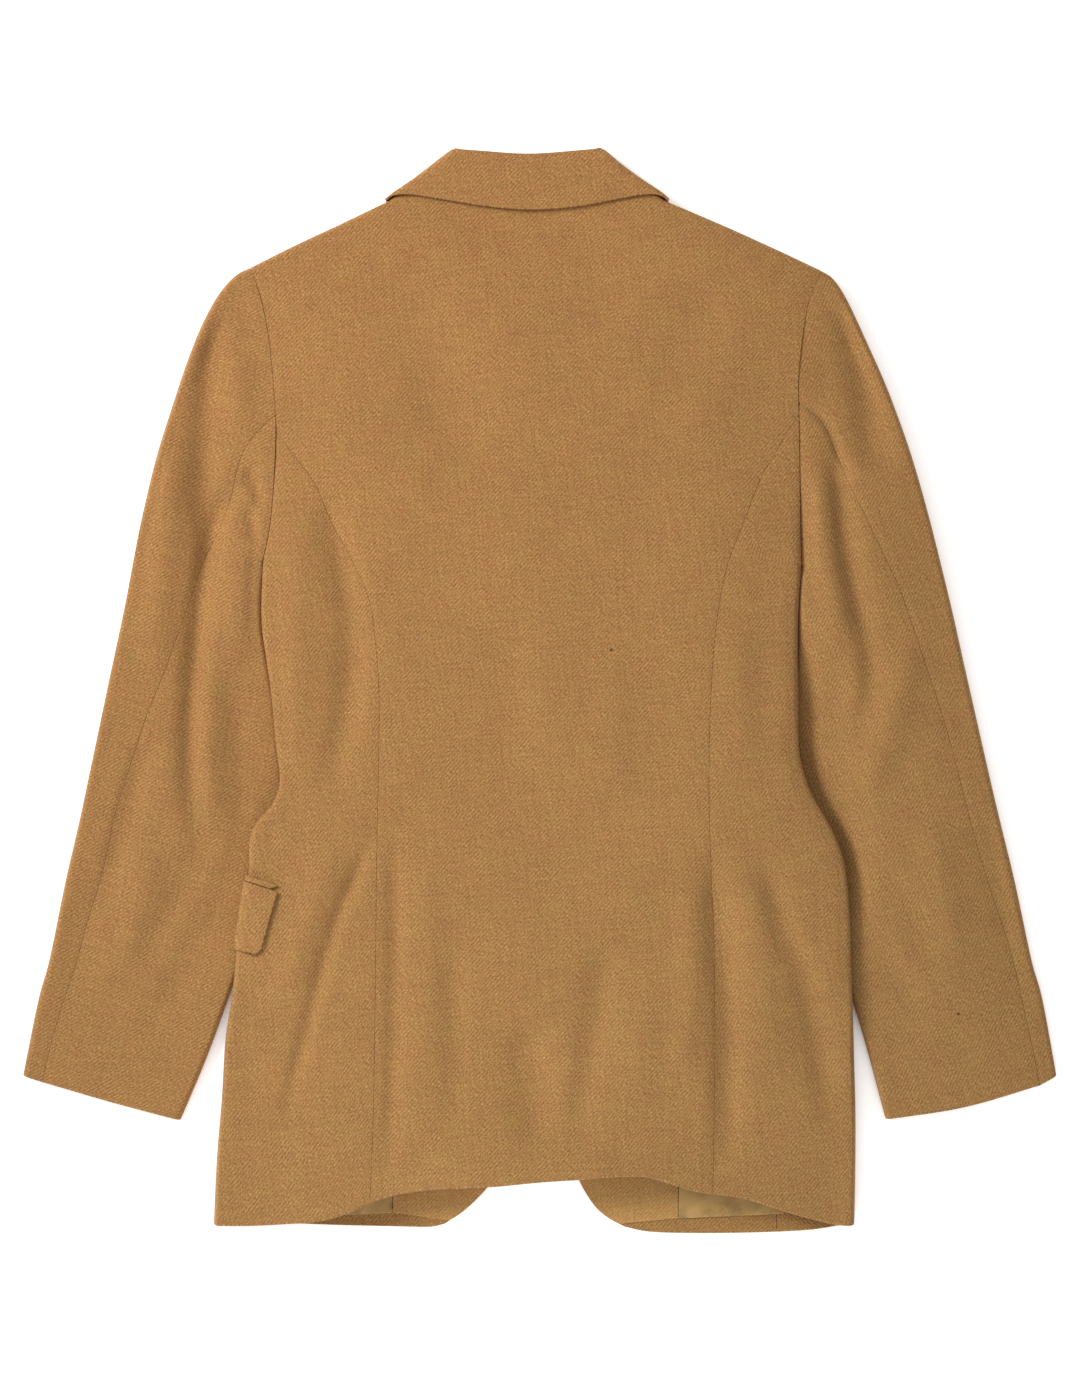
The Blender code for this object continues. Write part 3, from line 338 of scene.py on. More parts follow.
def body_runs(side):
    """Stations on a side's seams and folds, shared by the pieces on both sides of each."""
    p = PATHS[side]
    hind_share = share_near(p["arm"], HIND_SEAMS[side][0])
    princess_share = share_near(p["arm"], PRINCESS_SEAMS[side][0])
    front_share = share_near(p["low_arm"], FRONT_SEAMS[side][0])
    return dict(
        cap=run_of(p["arm"], 0, hind_share, CAP_STEPS, fine_start=True),
        notch=run_of(p["arm"], hind_share, princess_share, NOTCH_STEPS),
        scye=run_of(p["arm"], princess_share, 1, SCYE_STEPS, fine_end=True),
        low_cap=run_of(p["low_arm"], 0, front_share, LOW_CAP_STEPS, fine_start=True),
        low_scye=run_of(p["low_arm"], front_share, 1, SCYE_STEPS, fine_end=True),
        princess=run_of(p["princess"], 1, 0, SEAM_STEPS),
        front_seam=run_of(p["front_seam"], 1, 0, SEAM_STEPS),
        fold=run_of(p["fold"], 1, 0, BODY_ROWS))


def blunt(first, second):
    """Stop two runs just short of the tip where they meet."""
    for run in (first, second):
        run[-1] = run[-1] + (run[-2] - run[-1]) * TIP_BLUNT


def bend_of(path, u):
    """How far a path bows away from the straight line between its ends."""
    return along(path, u) - path[0] * (1 - u[:, None]) - path[-1] * u[:, None]


def rows_between(start, end, count, folded=False, near=None, far=None, reach=20.0, far_reach=15.0):
    """Plan rows from start stations to end stations; near and far bend the first and last rows."""
    rows = []
    last = len(start) - 1
    for k, (a, b) in enumerate(zip(start, end)):
        u = np.linspace(0, 1, count + 1)
        if folded:
            fine = fold_distances() / max(np.linalg.norm(b - a), NARROWEST)
            u = np.concatenate([fine[:-1], np.linspace(fine[-1], 1, count + 1 - FOLD_STEPS)])
        row = a + (b - a) * u[:, None]
        if near is not None:
            row = row + bend_of(near, u) * math.exp(-k / reach)
        if far is not None:
            row = row + bend_of(far, u) * math.exp(-(last - k) / far_reach)
        rows.append(row)
    return np.array(rows)


RUNS = {side: body_runs(side) for side in SIDES}
print("stations on a princess seam", len(RUNS["left"]["princess"]))

# %% [markdown]
# ## Creases
# Wool that has been worn keeps soft troughs and rolls where the arm bends and where the waist is
# nipped in. Each one is a line with a width and a depth in millimetres, deepest in the middle and
# fading at both ends. They could be simulated, but listed ones fall where this jacket has them.

# %% Tables of creases: width, depth (plus is a trough, minus a roll), then the line
BACK_CREASES = [
    (13, 2.1, [(-166, 160), (-158, 128), (-145, 62), (-147, -8), (-156, -48), (-172, -88)]),
    (15, -1.0, [(-188, 140), (-184, 90), (-186, 20), (-188, -60)]),
    (5.2, 1.7, [(-122, -98), (-131, -119), (-153, -172), (-170, -233), (-187, -301), (-196, -334)]),
    (13, -1.2, [(-152, -110), (-174, -160), (-198, -240)]),
    (8, 1.2, [(-112, -96), (-110, -128), (-110, -217), (-112, -293), (-116, -350), (-119, -372)]),
    (12, -0.5, [(-90, -120), (-86, -200), (-92, -300)]),
    (15, 0.55, [(-178, -88), (-110, -93), (-20, -92), (60, -90), (126, -92)]),
    (14, -0.6, [(-150, -70), (-60, -74), (40, -72), (120, -70)]),
    (12, 2.4, [(123, -104), (127, -168), (134, -248), (132, -330), (131, -366)]),
    (12, -0.8, [(104, -130), (106, -210), (100, -300)]),
    (13, 1.4, [(46, -176), (34, -248), (24, -320), (18, -350)]),
    (20, 2.0, [(-18, -236), (-12, -290), (-8, -342)]),
    (15, -0.6, [(74, -190), (68, -250), (62, -320)]),
    (11, 1.5, [(156, -106), (174, -168), (190, -208), (206, -288), (214, -340)]),
    (14, -0.8, [(150, -130), (158, -200), (168, -290)]),
    (14, 0.2, [(168, 110), (160, 40), (158, -30), (168, -90)]),
    (14, -0.7, [(140, 60), (142, 0), (146, -60)]),
    (30, 0.8, [(-112, 322), (-96, 262), (-70, 196), (-52, 130)]),
    (30, 0.7, [(118, 318), (96, 262), (72, 190), (58, 120)]),
    (18, -0.3, [(-150, 300), (-120, 250), (-95, 190)]),
    (18, -0.3, [(150, 296), (124, 240), (104, 180)]),
    (11, 0.9, [(-84, 350), (-44, 343), (-8, 341), (28, 343), (62, 350)]),
    (18, 0.6, [(-30, 60), (-26, 0), (-34, -60)]),
    (18, -0.5, [(40, 40), (46, -20), (38, -70)]),
    (11, 0.8, [(-70, -180), (-66, -260), (-72, -330)]),
]
SLEEVE_CREASES = dict(
    left=[
        (12, 2.3, [(-242, 288), (-249, 240), (-252, 190), (-252, 150), (-252, 118), (-254, 78)]),
        (9, 3.0, [(-220, 168), (-230, 150), (-241, 130), (-250, 95), (-256, 48), (-260, 0), (-262, -48),
                    (-259, -92), (-254, -132)]),
        (15, -1.3, [(-228, 120), (-230, 60), (-236, 10), (-240, -40)]),
        (6, 1.5, [(-220, 165), (-210, 148), (-206, 134)]),
        (6, 1.3, [(-220, 138), (-213, 122), (-209, 108), (-206, 93)]),
        (13, -1.3, [(-274, 190), (-280, 130), (-286, 60), (-290, 0)]),
        (9, 1.4, [(-292, -30), (-304, -74), (-316, -118), (-326, -160)]),
        (12, 0.9, [(-240, -80), (-258, -125), (-280, -165), (-302, -205)]),
        (13, -1.0, [(-290, -110), (-302, -160), (-314, -215)]),
        (12, 0.8, [(-250, -160), (-266, -200), (-286, -240), (-300, -262)]),
        (13, -1.1, [(-228, 255), (-226, 215), (-222, 180)]),
        (14, 0.7, [(-330, -120), (-340, -180), (-352, -240)]),
    ],
    right=[
        (15, 2.3, [(222, 300), (228, 262), (235, 225), (240, 188), (244, 150)]),
        (10, 2.25, [(208, 202), (214, 178), (218, 145), (222, 110), (229, 76), (237, 42), (240, 8),
                   (234, -26), (222, -56)]),
        (13, -1.7, [(201, 170), (203, 130), (207, 95), (213, 60), (214, 20)]),
        (3.8, 0.9, [(191, 213), (200, 206), (209, 199), (217, 182), (223, 162)]),
        (15, 0.9, [(256, 70), (250, 30), (240, -10), (226, -56)]),
        (14, -1.3, [(268, 40), (258, 0), (246, -44), (236, -80)]),
        (4.4, 0.5, [(234, -186), (243, -215), (255, -250), (266, -284), (275, -312), (283, -336)]),
        (12, 0.8, [(222, -90), (248, -130), (272, -176), (292, -214)]),
        (13, -1.0, [(280, -90), (292, -140), (304, -200)]),
        (12, 0.9, [(244, -180), (262, -220), (284, -258)]),
        (14, 0.5, [(324, -80), (336, -140), (350, -220)]),
    ])
print("creases", len(BACK_CREASES) + sum(len(t) for t in SLEEVE_CREASES.values()))

# %% Press the creases into a height
SPAN = 2.6
CREASE_DEPTH = 2.2
AWAY = np.array([0.4, -0.25])
CREASE_RISE, CREASE_FALL, CREASE_SHARE = (0, 0.18), (0.72, 1), 0.88
SWELLS, SWELL_SPANS, SWELL_HEIGHT = 14, (45, 150), 0.22


def pressed(x, y, table):
    """Total depth of a table's creases at many places."""
    total = np.zeros_like(x)
    for width, depth, line in table:
        path = smooth(line) + width * AWAY
        box = [(v.min() - SPAN * width, v.max() + SPAN * width) for v in path.T]
        near = (x > box[0][0]) & (x < box[0][1]) & (y > box[1][0]) & (y < box[1][1])
        if not near.any():
            continue
        gap, share = distance_to(path, np.stack([x[near], y[near]], axis=-1))
        taper = band(CREASE_RISE, CREASE_FALL, share)
        total[near] += depth * taper * np.exp(-(gap / (CREASE_SHARE * width)) ** 2)
    return CREASE_DEPTH * total


def rumple(x, y, seed):
    """Slow uneven swell of worn cloth, in millimetres, from a few crossed waves."""
    rng = np.random.default_rng(seed)
    total = np.zeros_like(x)
    for _ in range(SWELLS):
        wave = rng.uniform(*SWELL_SPANS)
        turn = rng.uniform(0, np.pi)
        phase = rng.uniform(0, 2 * np.pi)
        way = x * np.cos(turn) + y * np.sin(turn)
        total += np.sin(way * 2 * np.pi / wave + phase) * wave / SWELL_SPANS[1]
    return SWELL_HEIGHT * total


def seam_sink(x, y, paths, width, depth):
    """Cloth dips a little towards a pressed seam."""
    spots = np.stack([x, y], axis=-1)
    gap = np.min([distance_to(path, spots)[0] for path in paths], axis=0)
    return depth * np.exp(-(gap / width) ** 2)

# %% [markdown]
# ## Outer faces
# The outer face of a piece is a height over its plan. The creases are pressed in before the folds
# round it off, so they die away at a fold instead of denting it.

# %% Body faces
BODY_FOLDS = [PATHS[side][name] for name in ("shoulder", "fold") for side in SIDES]
BODY_SEAMS = [PATHS[side]["princess"] for side in SIDES]
CLOTH, LINING_WALL, SEAM_GAP, LAY_GAP, FLAP_GAP = 1.6, 1.0, 0.04, 0.45, 1.2
SEAM_RIM = 0.2
UNDERARM_RISE, UNDERARM_FALL, GROOVE_RISE, NECK_RISE = (20, 92), (110, 160), (-120, -60), (336, 360)
FOLD_MEETS = dict(plain=0.5, left=0.37, groove=0.75, right=0.14, neck=0.36)
BODY_SETTLE, LOW_SETTLE = (3, 16), (2, 5)
SEAM_SINK, ARM_SINK, ARM_SINK_MORE, ARM_SINK_WIDTH = (2.6, 0.28), 0.3, 1.1, 2.5
ARM_SINK_FALL = (120, 240)
UNDERARM_SINK, UNDERARM_SINK_FALL = 2.2, (88, 150)
EDGE_ROLL, EDGE_ROLL_WIDTH, EDGE_ROLL_RISE, EDGE_ROLL_FALL = 2.4, 8.0, (-250, -180), (10, 130)
CLOSING_LIFT, CLOSING_SPREAD, CLOSING_RISE = 2.5, (-62, -34), (-385, -340)


def fold_gap(paths, spots):
    """Distance from spots to the nearest of several paths."""
    return np.min([distance_to(path, spots)[0] for path in paths], axis=0)


def closing(x, y):
    """How high, between low and top layer, the two meet at a fold: high beside the underarm."""
    underarm = band(UNDERARM_RISE, UNDERARM_FALL, y)
    groove = FOLD_MEETS["groove"] * band(GROOVE_RISE, UNDERARM_FALL, y)
    left = FOLD_MEETS["left"] * np.maximum(underarm, groove)
    more = np.where(x < 0, left, FOLD_MEETS["right"] * underarm)
    return FOLD_MEETS["plain"] + more + FOLD_MEETS["neck"] * smoothstep(*NECK_RISE, y)


def closed(x, y, top, low, layer, from_fold):
    """Height of a layer that rounds off to its meeting line at a fold."""
    middle = low + (top - low) * closing(x, y)
    return middle + rounding(from_fold) * ((top if layer > 0 else low) - middle)


def body_point(rows, layer, lift=0.0):
    """Points of the body's outer face over plan rows: top layer +1, low layer -1."""
    x, y = rows[..., 0], rows[..., 1]
    top, low = body_top(x, y), body_low(x, y)
    from_fold = fold_gap(BODY_FOLDS, rows)
    settle = smoothstep(*BODY_SETTLE, from_fold)
    if layer > 0:
        top = top - settle * (pressed(x, y, BACK_CREASES) + rumple(x, y, 3))
        top = top - seam_sink(x, y, BODY_SEAMS, *SEAM_SINK)
        from_arm = fold_gap([PATHS[s]["arm"] for s in SIDES], rows)
        sunk = ARM_SINK + ARM_SINK_MORE * (1 - smoothstep(*ARM_SINK_FALL, y))
        sunk = sunk + UNDERARM_SINK * (1 - smoothstep(*UNDERARM_SINK_FALL, y)) * (x > 0)
        top = top - sunk * np.exp(-from_arm / ARM_SINK_WIDTH)
        from_side = distance_to(PATHS["right"]["fold"], rows)[0]
        rolled = EDGE_ROLL * band(EDGE_ROLL_RISE, EDGE_ROLL_FALL, y)
        top = top - rolled * np.exp(-(from_side / EDGE_ROLL_WIDTH) ** 2)
    else:
        low = low + 0.5 * settle * smoothstep(*LOW_SETTLE, low) * rumple(x, y, 5)
    return np.stack([x, y, closed(x, y, top, low, layer, from_fold) + lift], axis=-1)


def front_lift(side, x, y):
    """The left front passes over the right one at the closing."""
    if side == "right":
        return 0 * x
    return CLOSING_LIFT * smoothstep(*CLOSING_SPREAD, x) * smoothstep(*CLOSING_RISE, y)


def under_front(rows):
    """Points on the low face of the fronts near the closing."""
    x, y = rows[..., 0], rows[..., 1]
    return np.stack([x, y, np.maximum(body_low(x, y), LOW_BASE)], axis=-1)


def inside_front(side, rows):
    """Points on the inner face of a front, near its hem."""
    x, y = rows[..., 0], rows[..., 1]
    return np.stack([x, y, body_low(x, y) + front_lift(side, x, y) + CLOTH], axis=-1)


# %% Sleeve faces
TUCK_FALL, TUCK_SPREAD = (-30, 60), (26, 56)
OUTER_DROPS, OUTER_REACH = dict(left=0.4, right=2.6), 52.0
TOP_JOIN, LOW_JOIN = (0, 90), (0, 70)
SLEEVE_SETTLE, ARM_SETTLE, TUCKED_CALM, SLEEVE_SWELL = (3, 14), (2, 14), 0.8, 0.8
ARM_TUCKS, ARM_TUCK_FALL, ARM_TUCK_WIDTH = dict(left=0.4, right=3.2), (120, 250), 7.0
UNDERARM_TUCK, UNDERARM_TUCK_FALL = 0.9, (88, 160)
INNER_DIPS, DIP_WIDTH, DIP_RISE, DIP_FALL = dict(left=0.0, right=6.3), 13.0, (-215, -105), (-10, 105)
HIND_SINK, ARM_SEAM_SINK = (2.6, 0.34), (3.0, 0.3)
LEAST_LOFT = 2 * CLOTH + 1.0
EASE = (0.05, 0.30)


def sleeve_point(side, rows, layer):
    """Points of a sleeve's outer face; at the armhole it takes the body's height."""
    x, y = rows[..., 0], rows[..., 1]
    p = PATHS[side]
    own = np.interp(y, SLEEVE_TOPS[:, 0], SLEEVE_TOPS[:, 1])
    lines = [p[name] for name in ("inner", "outer", "arm")]
    from_inner, from_outer, from_arm = [distance_to(line, rows)[0] for line in lines]
    from_fold = np.minimum(from_inner, from_outer)
    tucked = (1 - smoothstep(*TUCK_FALL, y)) * (1 - smoothstep(*TUCK_SPREAD, from_inner))
    own = own - (own - np.minimum(own, SLEEVE_TUCK_TOP)) * tucked
    own = own - OUTER_DROPS[side] * smoothstep(OUTER_REACH, 0, from_outer)
    joined = smoothstep(*TOP_JOIN, from_arm)
    top = body_top(x, y) * (1 - joined) + own * joined
    low = body_low(x, y) * (1 - smoothstep(*LOW_JOIN, distance_to(p["low_arm"], rows)[0]))
    if layer > 0:
        settle = smoothstep(*SLEEVE_SETTLE, from_fold) * smoothstep(*ARM_SETTLE, from_arm)
        settle = settle * (1 - TUCKED_CALM * tucked)
        top = top - settle * (pressed(x, y, SLEEVE_CREASES[side]) + SLEEVE_SWELL * rumple(x, y, 7))
        top = top - seam_sink(x, y, [p["hind"]], *HIND_SINK) * (1 - tucked)
        tuck = ARM_TUCKS[side] * (1 - smoothstep(*ARM_TUCK_FALL, y))
        tuck = tuck * (1 + UNDERARM_TUCK * (1 - smoothstep(*UNDERARM_TUCK_FALL, y)))
        top = top - tuck * np.exp(-from_arm / ARM_TUCK_WIDTH)
        edge_x = np.interp(-y, -p["fold"][:, 1], p["fold"][:, 0])
        outside = x * CROSS[side] > edge_x * CROSS[side]
        from_body = np.where(outside, distance_to(p["fold"], rows)[0], 0)
        dip = INNER_DIPS[side] * band(DIP_RISE, DIP_FALL, y)
        top = top - dip * np.exp(-(from_body / DIP_WIDTH) ** 2)
        top = top - seam_sink(x, y, [p["arm"]], *ARM_SEAM_SINK)
        top = np.maximum(top, low + LEAST_LOFT)
    return np.stack([x, y, closed(x, y, top, low, layer, from_fold)], axis=-1)


def eased(run, side):
    """Armhole stations moved clear of the body, most at the underarm end."""
    push = np.linspace(*EASE, len(run))
    return run + np.stack([CROSS[side] * push, 0 * push], axis=-1)


# %% [markdown]
# ## From a face to cloth
# Cloth has a thickness, and its edge is what a viewer reads first: a turned hem is soft and round.
# So each face becomes a closed shell: the face itself, a copy one wall further in, and a half-round
# rim between them. A thickness modifier would leave square edges and a step at every seam; here two
# rims side by side make the fine soft groove of a real pressed seam.
# The marks for the weave unroll each row round its fold, as the flat cloth lay before sewing, so
# the wales run on without stretching. They are in millimetres, and a noise scale of 0.04 on them
# is a change about every 25 mm.

# %% Grids to quads
WELD = 0.004
RIM_STEPS = 4
HEM_PULL = (0.5, 0.9)
GRAIN = math.radians(48)
PIECES = {}


def cloth_marks(grid, side_sign):
    """Where each point lay on the flat cloth: run out from the start of its row."""
    steps = np.linalg.norm(np.diff(grid, axis=1), axis=2)
    out = np.concatenate([np.zeros((len(grid), 1)), np.cumsum(steps, axis=1)], axis=1)
    way = grid[:, -1, :2] - grid[:, 0, :2]
    way = way / np.maximum(np.linalg.norm(way, axis=1, keepdims=True), 1e-6)
    return grid[:, :1, :2] + side_sign * out[..., None] * way[:, None]


def welded(grids, marks):
    """One list of points, the quads between them and the cloth marks of each quad's corners."""
    points = np.vstack([g.reshape(-1, 3) for g in grids])
    flat_marks = np.vstack([m.reshape(-1, 2) for m in marks])
    _, first, number = np.unique(np.round(points / WELD).astype(np.int64), axis=0,
                                 return_index=True, return_inverse=True)
    number = number.ravel()
    quads, start = [], 0
    for g in grids:
        index = start + np.arange(g.shape[0] * g.shape[1]).reshape(g.shape[:2])
        quads.append(np.stack([index[:-1, :-1], index[:-1, 1:], index[1:, 1:], index[1:, :-1]],
                              axis=-1).reshape(-1, 4))
        start += index.size
    quads = np.vstack(quads)
    corners = number[quads]
    sound = np.array([len(set(c)) == 4 for c in corners])
    return points[first], corners[sound], flat_marks[quads[sound]]


def faced_quads(points, quads, outward):
    """Normals of quads, all turned so that the whole face looks outward."""
    cross = np.cross(points[quads[:, 2]] - points[quads[:, 0]], points[quads[:, 3]] - points[quads[:, 1]])
    if (cross.sum(axis=0) @ np.array(outward)) < 0:
        return quads[:, ::-1], -cross, True
    return quads, cross, False


# %% Edges of a face
LEADS_IN = 0.3
TINY = 1e-9


def unit(ways):
    """Directions of length one."""
    return ways / np.maximum(np.linalg.norm(ways, axis=1, keepdims=True), TINY)


def point_normals(points, quads, cross):
    """The way each point faces, from the quads round it."""
    normals = np.zeros_like(points)
    for k in range(4):
        np.add.at(normals, quads[:, k], cross)
    return unit(normals)


def open_edges(name, points, quads, cross):
    """Open edges of a face, the pull into the cloth at each, and the room to the next points."""
    starts, ends = quads.ravel(), np.roll(quads, -1, axis=1).ravel()
    code = starts.astype(np.int64) * len(points) + ends
    lone = ~np.isin(code, ends.astype(np.int64) * len(points) + starts)
    if len(np.unique(code)) != len(code):
        raise ValueError(f"{name}: grids that don't face one way")
    a, b = starts[lone], ends[lone]
    across = unit(np.cross(np.repeat(cross, 4, axis=0)[lone], points[b] - points[a]))
    pull = np.zeros_like(points)
    np.add.at(pull, a, across)
    np.add.at(pull, b, across)
    pull = unit(pull)
    run = points[ends] - points[starts]
    length = np.linalg.norm(run, axis=1)
    room = np.full(len(points), np.inf)
    for at, way in ((starts, np.einsum("ij,ij->i", run, pull[starts])),
                    (ends, np.einsum("ij,ij->i", -run, pull[ends]))):
        leads_in = way > LEADS_IN * length
        np.minimum.at(room, at[leads_in], way[leads_in])
    return lone, a, b, pull, room

# %% Shell of one wall
GAP_SHARE = 0.3


def shell_points(points, normals, rim, pull, room, walls, soft, clear):
    """Points and facing ways of the outer face, the inner face and the half-round rim between."""
    reach = np.minimum(np.minimum(soft, 0.5 * walls), 0.5 * room)
    half_gap = np.minimum(0.5 * SEAM_GAP, GAP_SHARE * room)
    is_rim = np.zeros((len(points), 1), bool)
    is_rim[rim] = True
    outer = points + normals * clear
    edge_line = outer + pull * half_gap[:, None]
    outer = np.where(is_rim, edge_line + pull * reach[:, None], outer)
    verts, ways = [outer, outer - normals * walls[:, None]], [normals, -normals]
    for k in range(1, RIM_STEPS):
        angle = math.pi * k / RIM_STEPS
        verts.append(edge_line[rim] + pull[rim] * reach[rim, None] * (1 - math.sin(angle))
                     - normals[rim] * 0.5 * walls[rim, None] * (1 - math.cos(angle)))
        ways.append(normals[rim] * math.cos(angle) - pull[rim] * math.sin(angle))
    return np.vstack(verts), np.vstack(ways)


def shell_faces(count, quads, uv, rim, lone, a, b):
    """Faces of the shell and the cloth marks of their corners."""
    slot_of = np.full(count, -1)
    slot_of[rim] = np.arange(len(rim))
    rings = [np.arange(count)] + [slot_of + 2 * count + k * len(rim) for k in range(RIM_STEPS - 1)]
    rings.append(np.arange(count) + count)
    faces, face_uv = [quads, quads[:, ::-1] + count], [uv, uv[:, ::-1]]
    uv_a = uv.reshape(-1, 2)[lone]
    uv_b = np.roll(uv, -1, axis=1).reshape(-1, 2)[lone]
    for upper, lower in zip(rings, rings[1:]):
        faces.append(np.stack([upper[b], upper[a], lower[a], lower[b]], axis=-1))
        face_uv.append(np.stack([uv_b, uv_a, uv_a, uv_b], axis=1))
    return np.vstack(faces), np.vstack(face_uv)


def placed(name, data):
    """A new object in the scene."""
    thing = bpy.data.objects.new(name, data)
    bpy.context.scene.collection.objects.link(thing)
    return thing


def cloth_mesh(name, verts, ways, faces, face_uv, grain):
    """The shell as a smooth mesh, its marks turned so that U runs across the wales."""
    mesh = bpy.data.meshes.new(name)
    mesh.from_pydata((verts * MM).tolist(), [], faces.tolist())
    layer = mesh.uv_layers.new(name="cloth")
    across_wales = np.array([math.sin(grain), -math.cos(grain)])
    along_wales = np.array([math.cos(grain), math.sin(grain)])
    turned = np.stack([face_uv @ across_wales, face_uv @ along_wales], axis=-1)
    layer.data.foreach_set("uv", turned.ravel())
    mesh.polygons.foreach_set("use_smooth", [True] * len(faces))
    mesh.validate()
    mesh.update()
    mesh.normals_split_custom_set_from_vertices(ways)
    return mesh

# %% One piece of cloth
def add_cloth(name, grids, marks, outward, finish, wall=CLOTH, clear=0.0, thick=None, turns=None,
              grain=GRAIN):
    """Build one closed shell of cloth from grids of outer points; grain is the way its wales run."""
    turns = turns or [1] * len(grids)
    grids = [g[:, ::-1] if turn < 0 else g for g, turn in zip(grids, turns)]
    marks = [m[:, ::-1] if turn < 0 else m for m, turn in zip(marks, turns)]
    points, quads, uv = welded(grids, marks)
    quads, cross, flipped = faced_quads(points, quads, outward)
    uv = uv[:, ::-1] if flipped else uv
    lone, a, b, pull, room = open_edges(name, points, quads, cross)
    rim = np.unique(a)
    walls = np.full(len(points), wall) if thick is None else thick(points)
    soft = 0.5 * walls
    if thick is not None:
        at_hem = smoothstep(*HEM_PULL, pull[:, 1])
        soft = SEAM_RIM + (walls - CLOTH) * at_hem
    normals = point_normals(points, quads, cross)
    verts, ways = shell_points(points, normals, rim, pull, room, walls, soft, clear)
    faces, face_uv = shell_faces(len(points), quads, uv, rim, lone, a, b)
    piece = placed(name + "_cloth", cloth_mesh(name + "_cloth", verts, ways, faces, face_uv, grain))
    area = 0.5 * np.linalg.norm(cross, axis=1).sum() * MM * MM
    cut = np.ptp(uv.reshape(-1, 2), axis=0) * MM
    PIECES[name] = dict(object=piece, finish=finish, area=area, cut=cut)
    print(f"{name}: {len(faces)} faces, {area * 1e4:.0f} square centimetres")

# %% [markdown]
# ## The cloth pieces
# Nine large pieces make the jacket as it lies: the centre back, two side bodies, two fronts and two
# halves of each sleeve. The lapels are folded out under the fronts. A hem is the same cloth turned
# up inside, so its wall is thicker there.

# %% Back and side bodies
HEM_TURN, HEM_LEVEL = 1.2, (-352, -344)
NECK_ROWS = 60
SIDE_GRAIN = math.radians(52)


def hem_thick(points):
    """Cloth is doubled for the depth of the turned-up hem."""
    return CLOTH + HEM_TURN * (1 - smoothstep(*HEM_LEVEL, points[:, 1]))


def back_rows():
    """Plan rows of the centre back, bent to the hem at one end and the neck at the other."""
    edges = [np.vstack([RUNS[s]["princess"], RUNS[s]["notch"][::-1][1:], RUNS[s]["cap"][::-1][1:]])
             for s in SIDES]
    rows = rows_between(edges[0], edges[1], BACK_COLUMNS, near=smooth(BACK_HEM))
    top = smooth(SHOULDERS["left"][:-1] + BACK_NECK + SHOULDERS["right"][-2::-1])
    weight = smoothstep(len(rows) - NECK_ROWS, len(rows) - 1, np.arange(len(rows)))
    return rows + bend_of(top, np.linspace(0, 1, BACK_COLUMNS + 1)) * weight[:, None, None]


grid = body_point(back_rows(), 1)
add_cloth("back_centre", [grid], [grid[..., :2]], (0, 0, 1), "wool", thick=hem_thick)

for side in SIDES:
    run, p = RUNS[side], PATHS[side]
    edge = chain(run["fold"], run["scye"][::-1])
    low_edge = chain(run["fold"], run["low_scye"][::-1])
    princess, front_seam = run["princess"].copy(), run["front_seam"].copy()
    blunt(edge, princess)
    blunt(low_edge, front_seam)
    upper = body_point(rows_between(edge, princess, TOP_COLUMNS, True, near=p["hem"][::-1]), 1)
    lower = body_point(rows_between(low_edge, front_seam, LOW_COLUMNS, True, near=p["low_hem"]), -1)
    add_cloth(f"side_body_{side}", [upper, lower], [cloth_marks(upper, 1), cloth_marks(lower, -1)],
              (CROSS[side], 0, 0), "wool", thick=hem_thick, turns=[1, -1], grain=SIDE_GRAIN)

# %% Fronts and lapels
FRONT_EDGE_ROWS = 118
LAPEL_ROWS, LAPEL_COLUMNS = 48, 18

for side in SIDES:
    run, p = RUNS[side], PATHS[side]
    outer = chain(run["front_seam"], run["low_cap"][::-1])
    neck = smooth([ROLLS[side][-1], ROLLS[side][1], SHOULDERS[side][-1]])
    rest = len(outer) - 1 - FRONT_EDGE_ROWS - FOLD_STEPS
    inner = chain(run_of(p["edge"], 1, 0, FRONT_EDGE_ROWS), run_of(neck, 0, 1, rest, fine_end=True))
    rows = rows_between(outer, inner, FRONT_COLUMNS, near=p["front_hem"], far=p["shoulder"], reach=10.0)
    grid = body_point(rows, -1, front_lift(side, rows[..., 0], rows[..., 1]))
    add_cloth(f"front_{side}", [grid], [grid[..., :2]], (0, 0, -1), "wool")
    roll, edge, gorge = smooth(ROLLS[side]), smooth(LAPEL_EDGES[side]), smooth(GORGES[side])
    starts, ends = [run_of(line, 0, LAPEL_SHARE, LAPEL_ROWS) for line in (roll, edge)]
    rows = rows_between(starts, ends, LAPEL_COLUMNS, near=gorge, reach=6.0)
    add_cloth(f"lapel_{side}", [under_front(rows)], [rows], (0, 0, -1), "wool", clear=LAY_GAP + CLOTH)

# %% Sleeves
SLEEVE_GRAIN = dict(left=math.radians(30), right=math.radians(62))
CUFF_BOWS = dict(left=0.6, right=3.6)
CUFF_TURN, CUFF_LEVEL = 0.8, (-278, -270)


def cuff_thick(points):
    """The sleeve hem is turned up as well."""
    return CLOTH + CUFF_TURN * (1 - smoothstep(*CUFF_LEVEL, points[:, 1]))


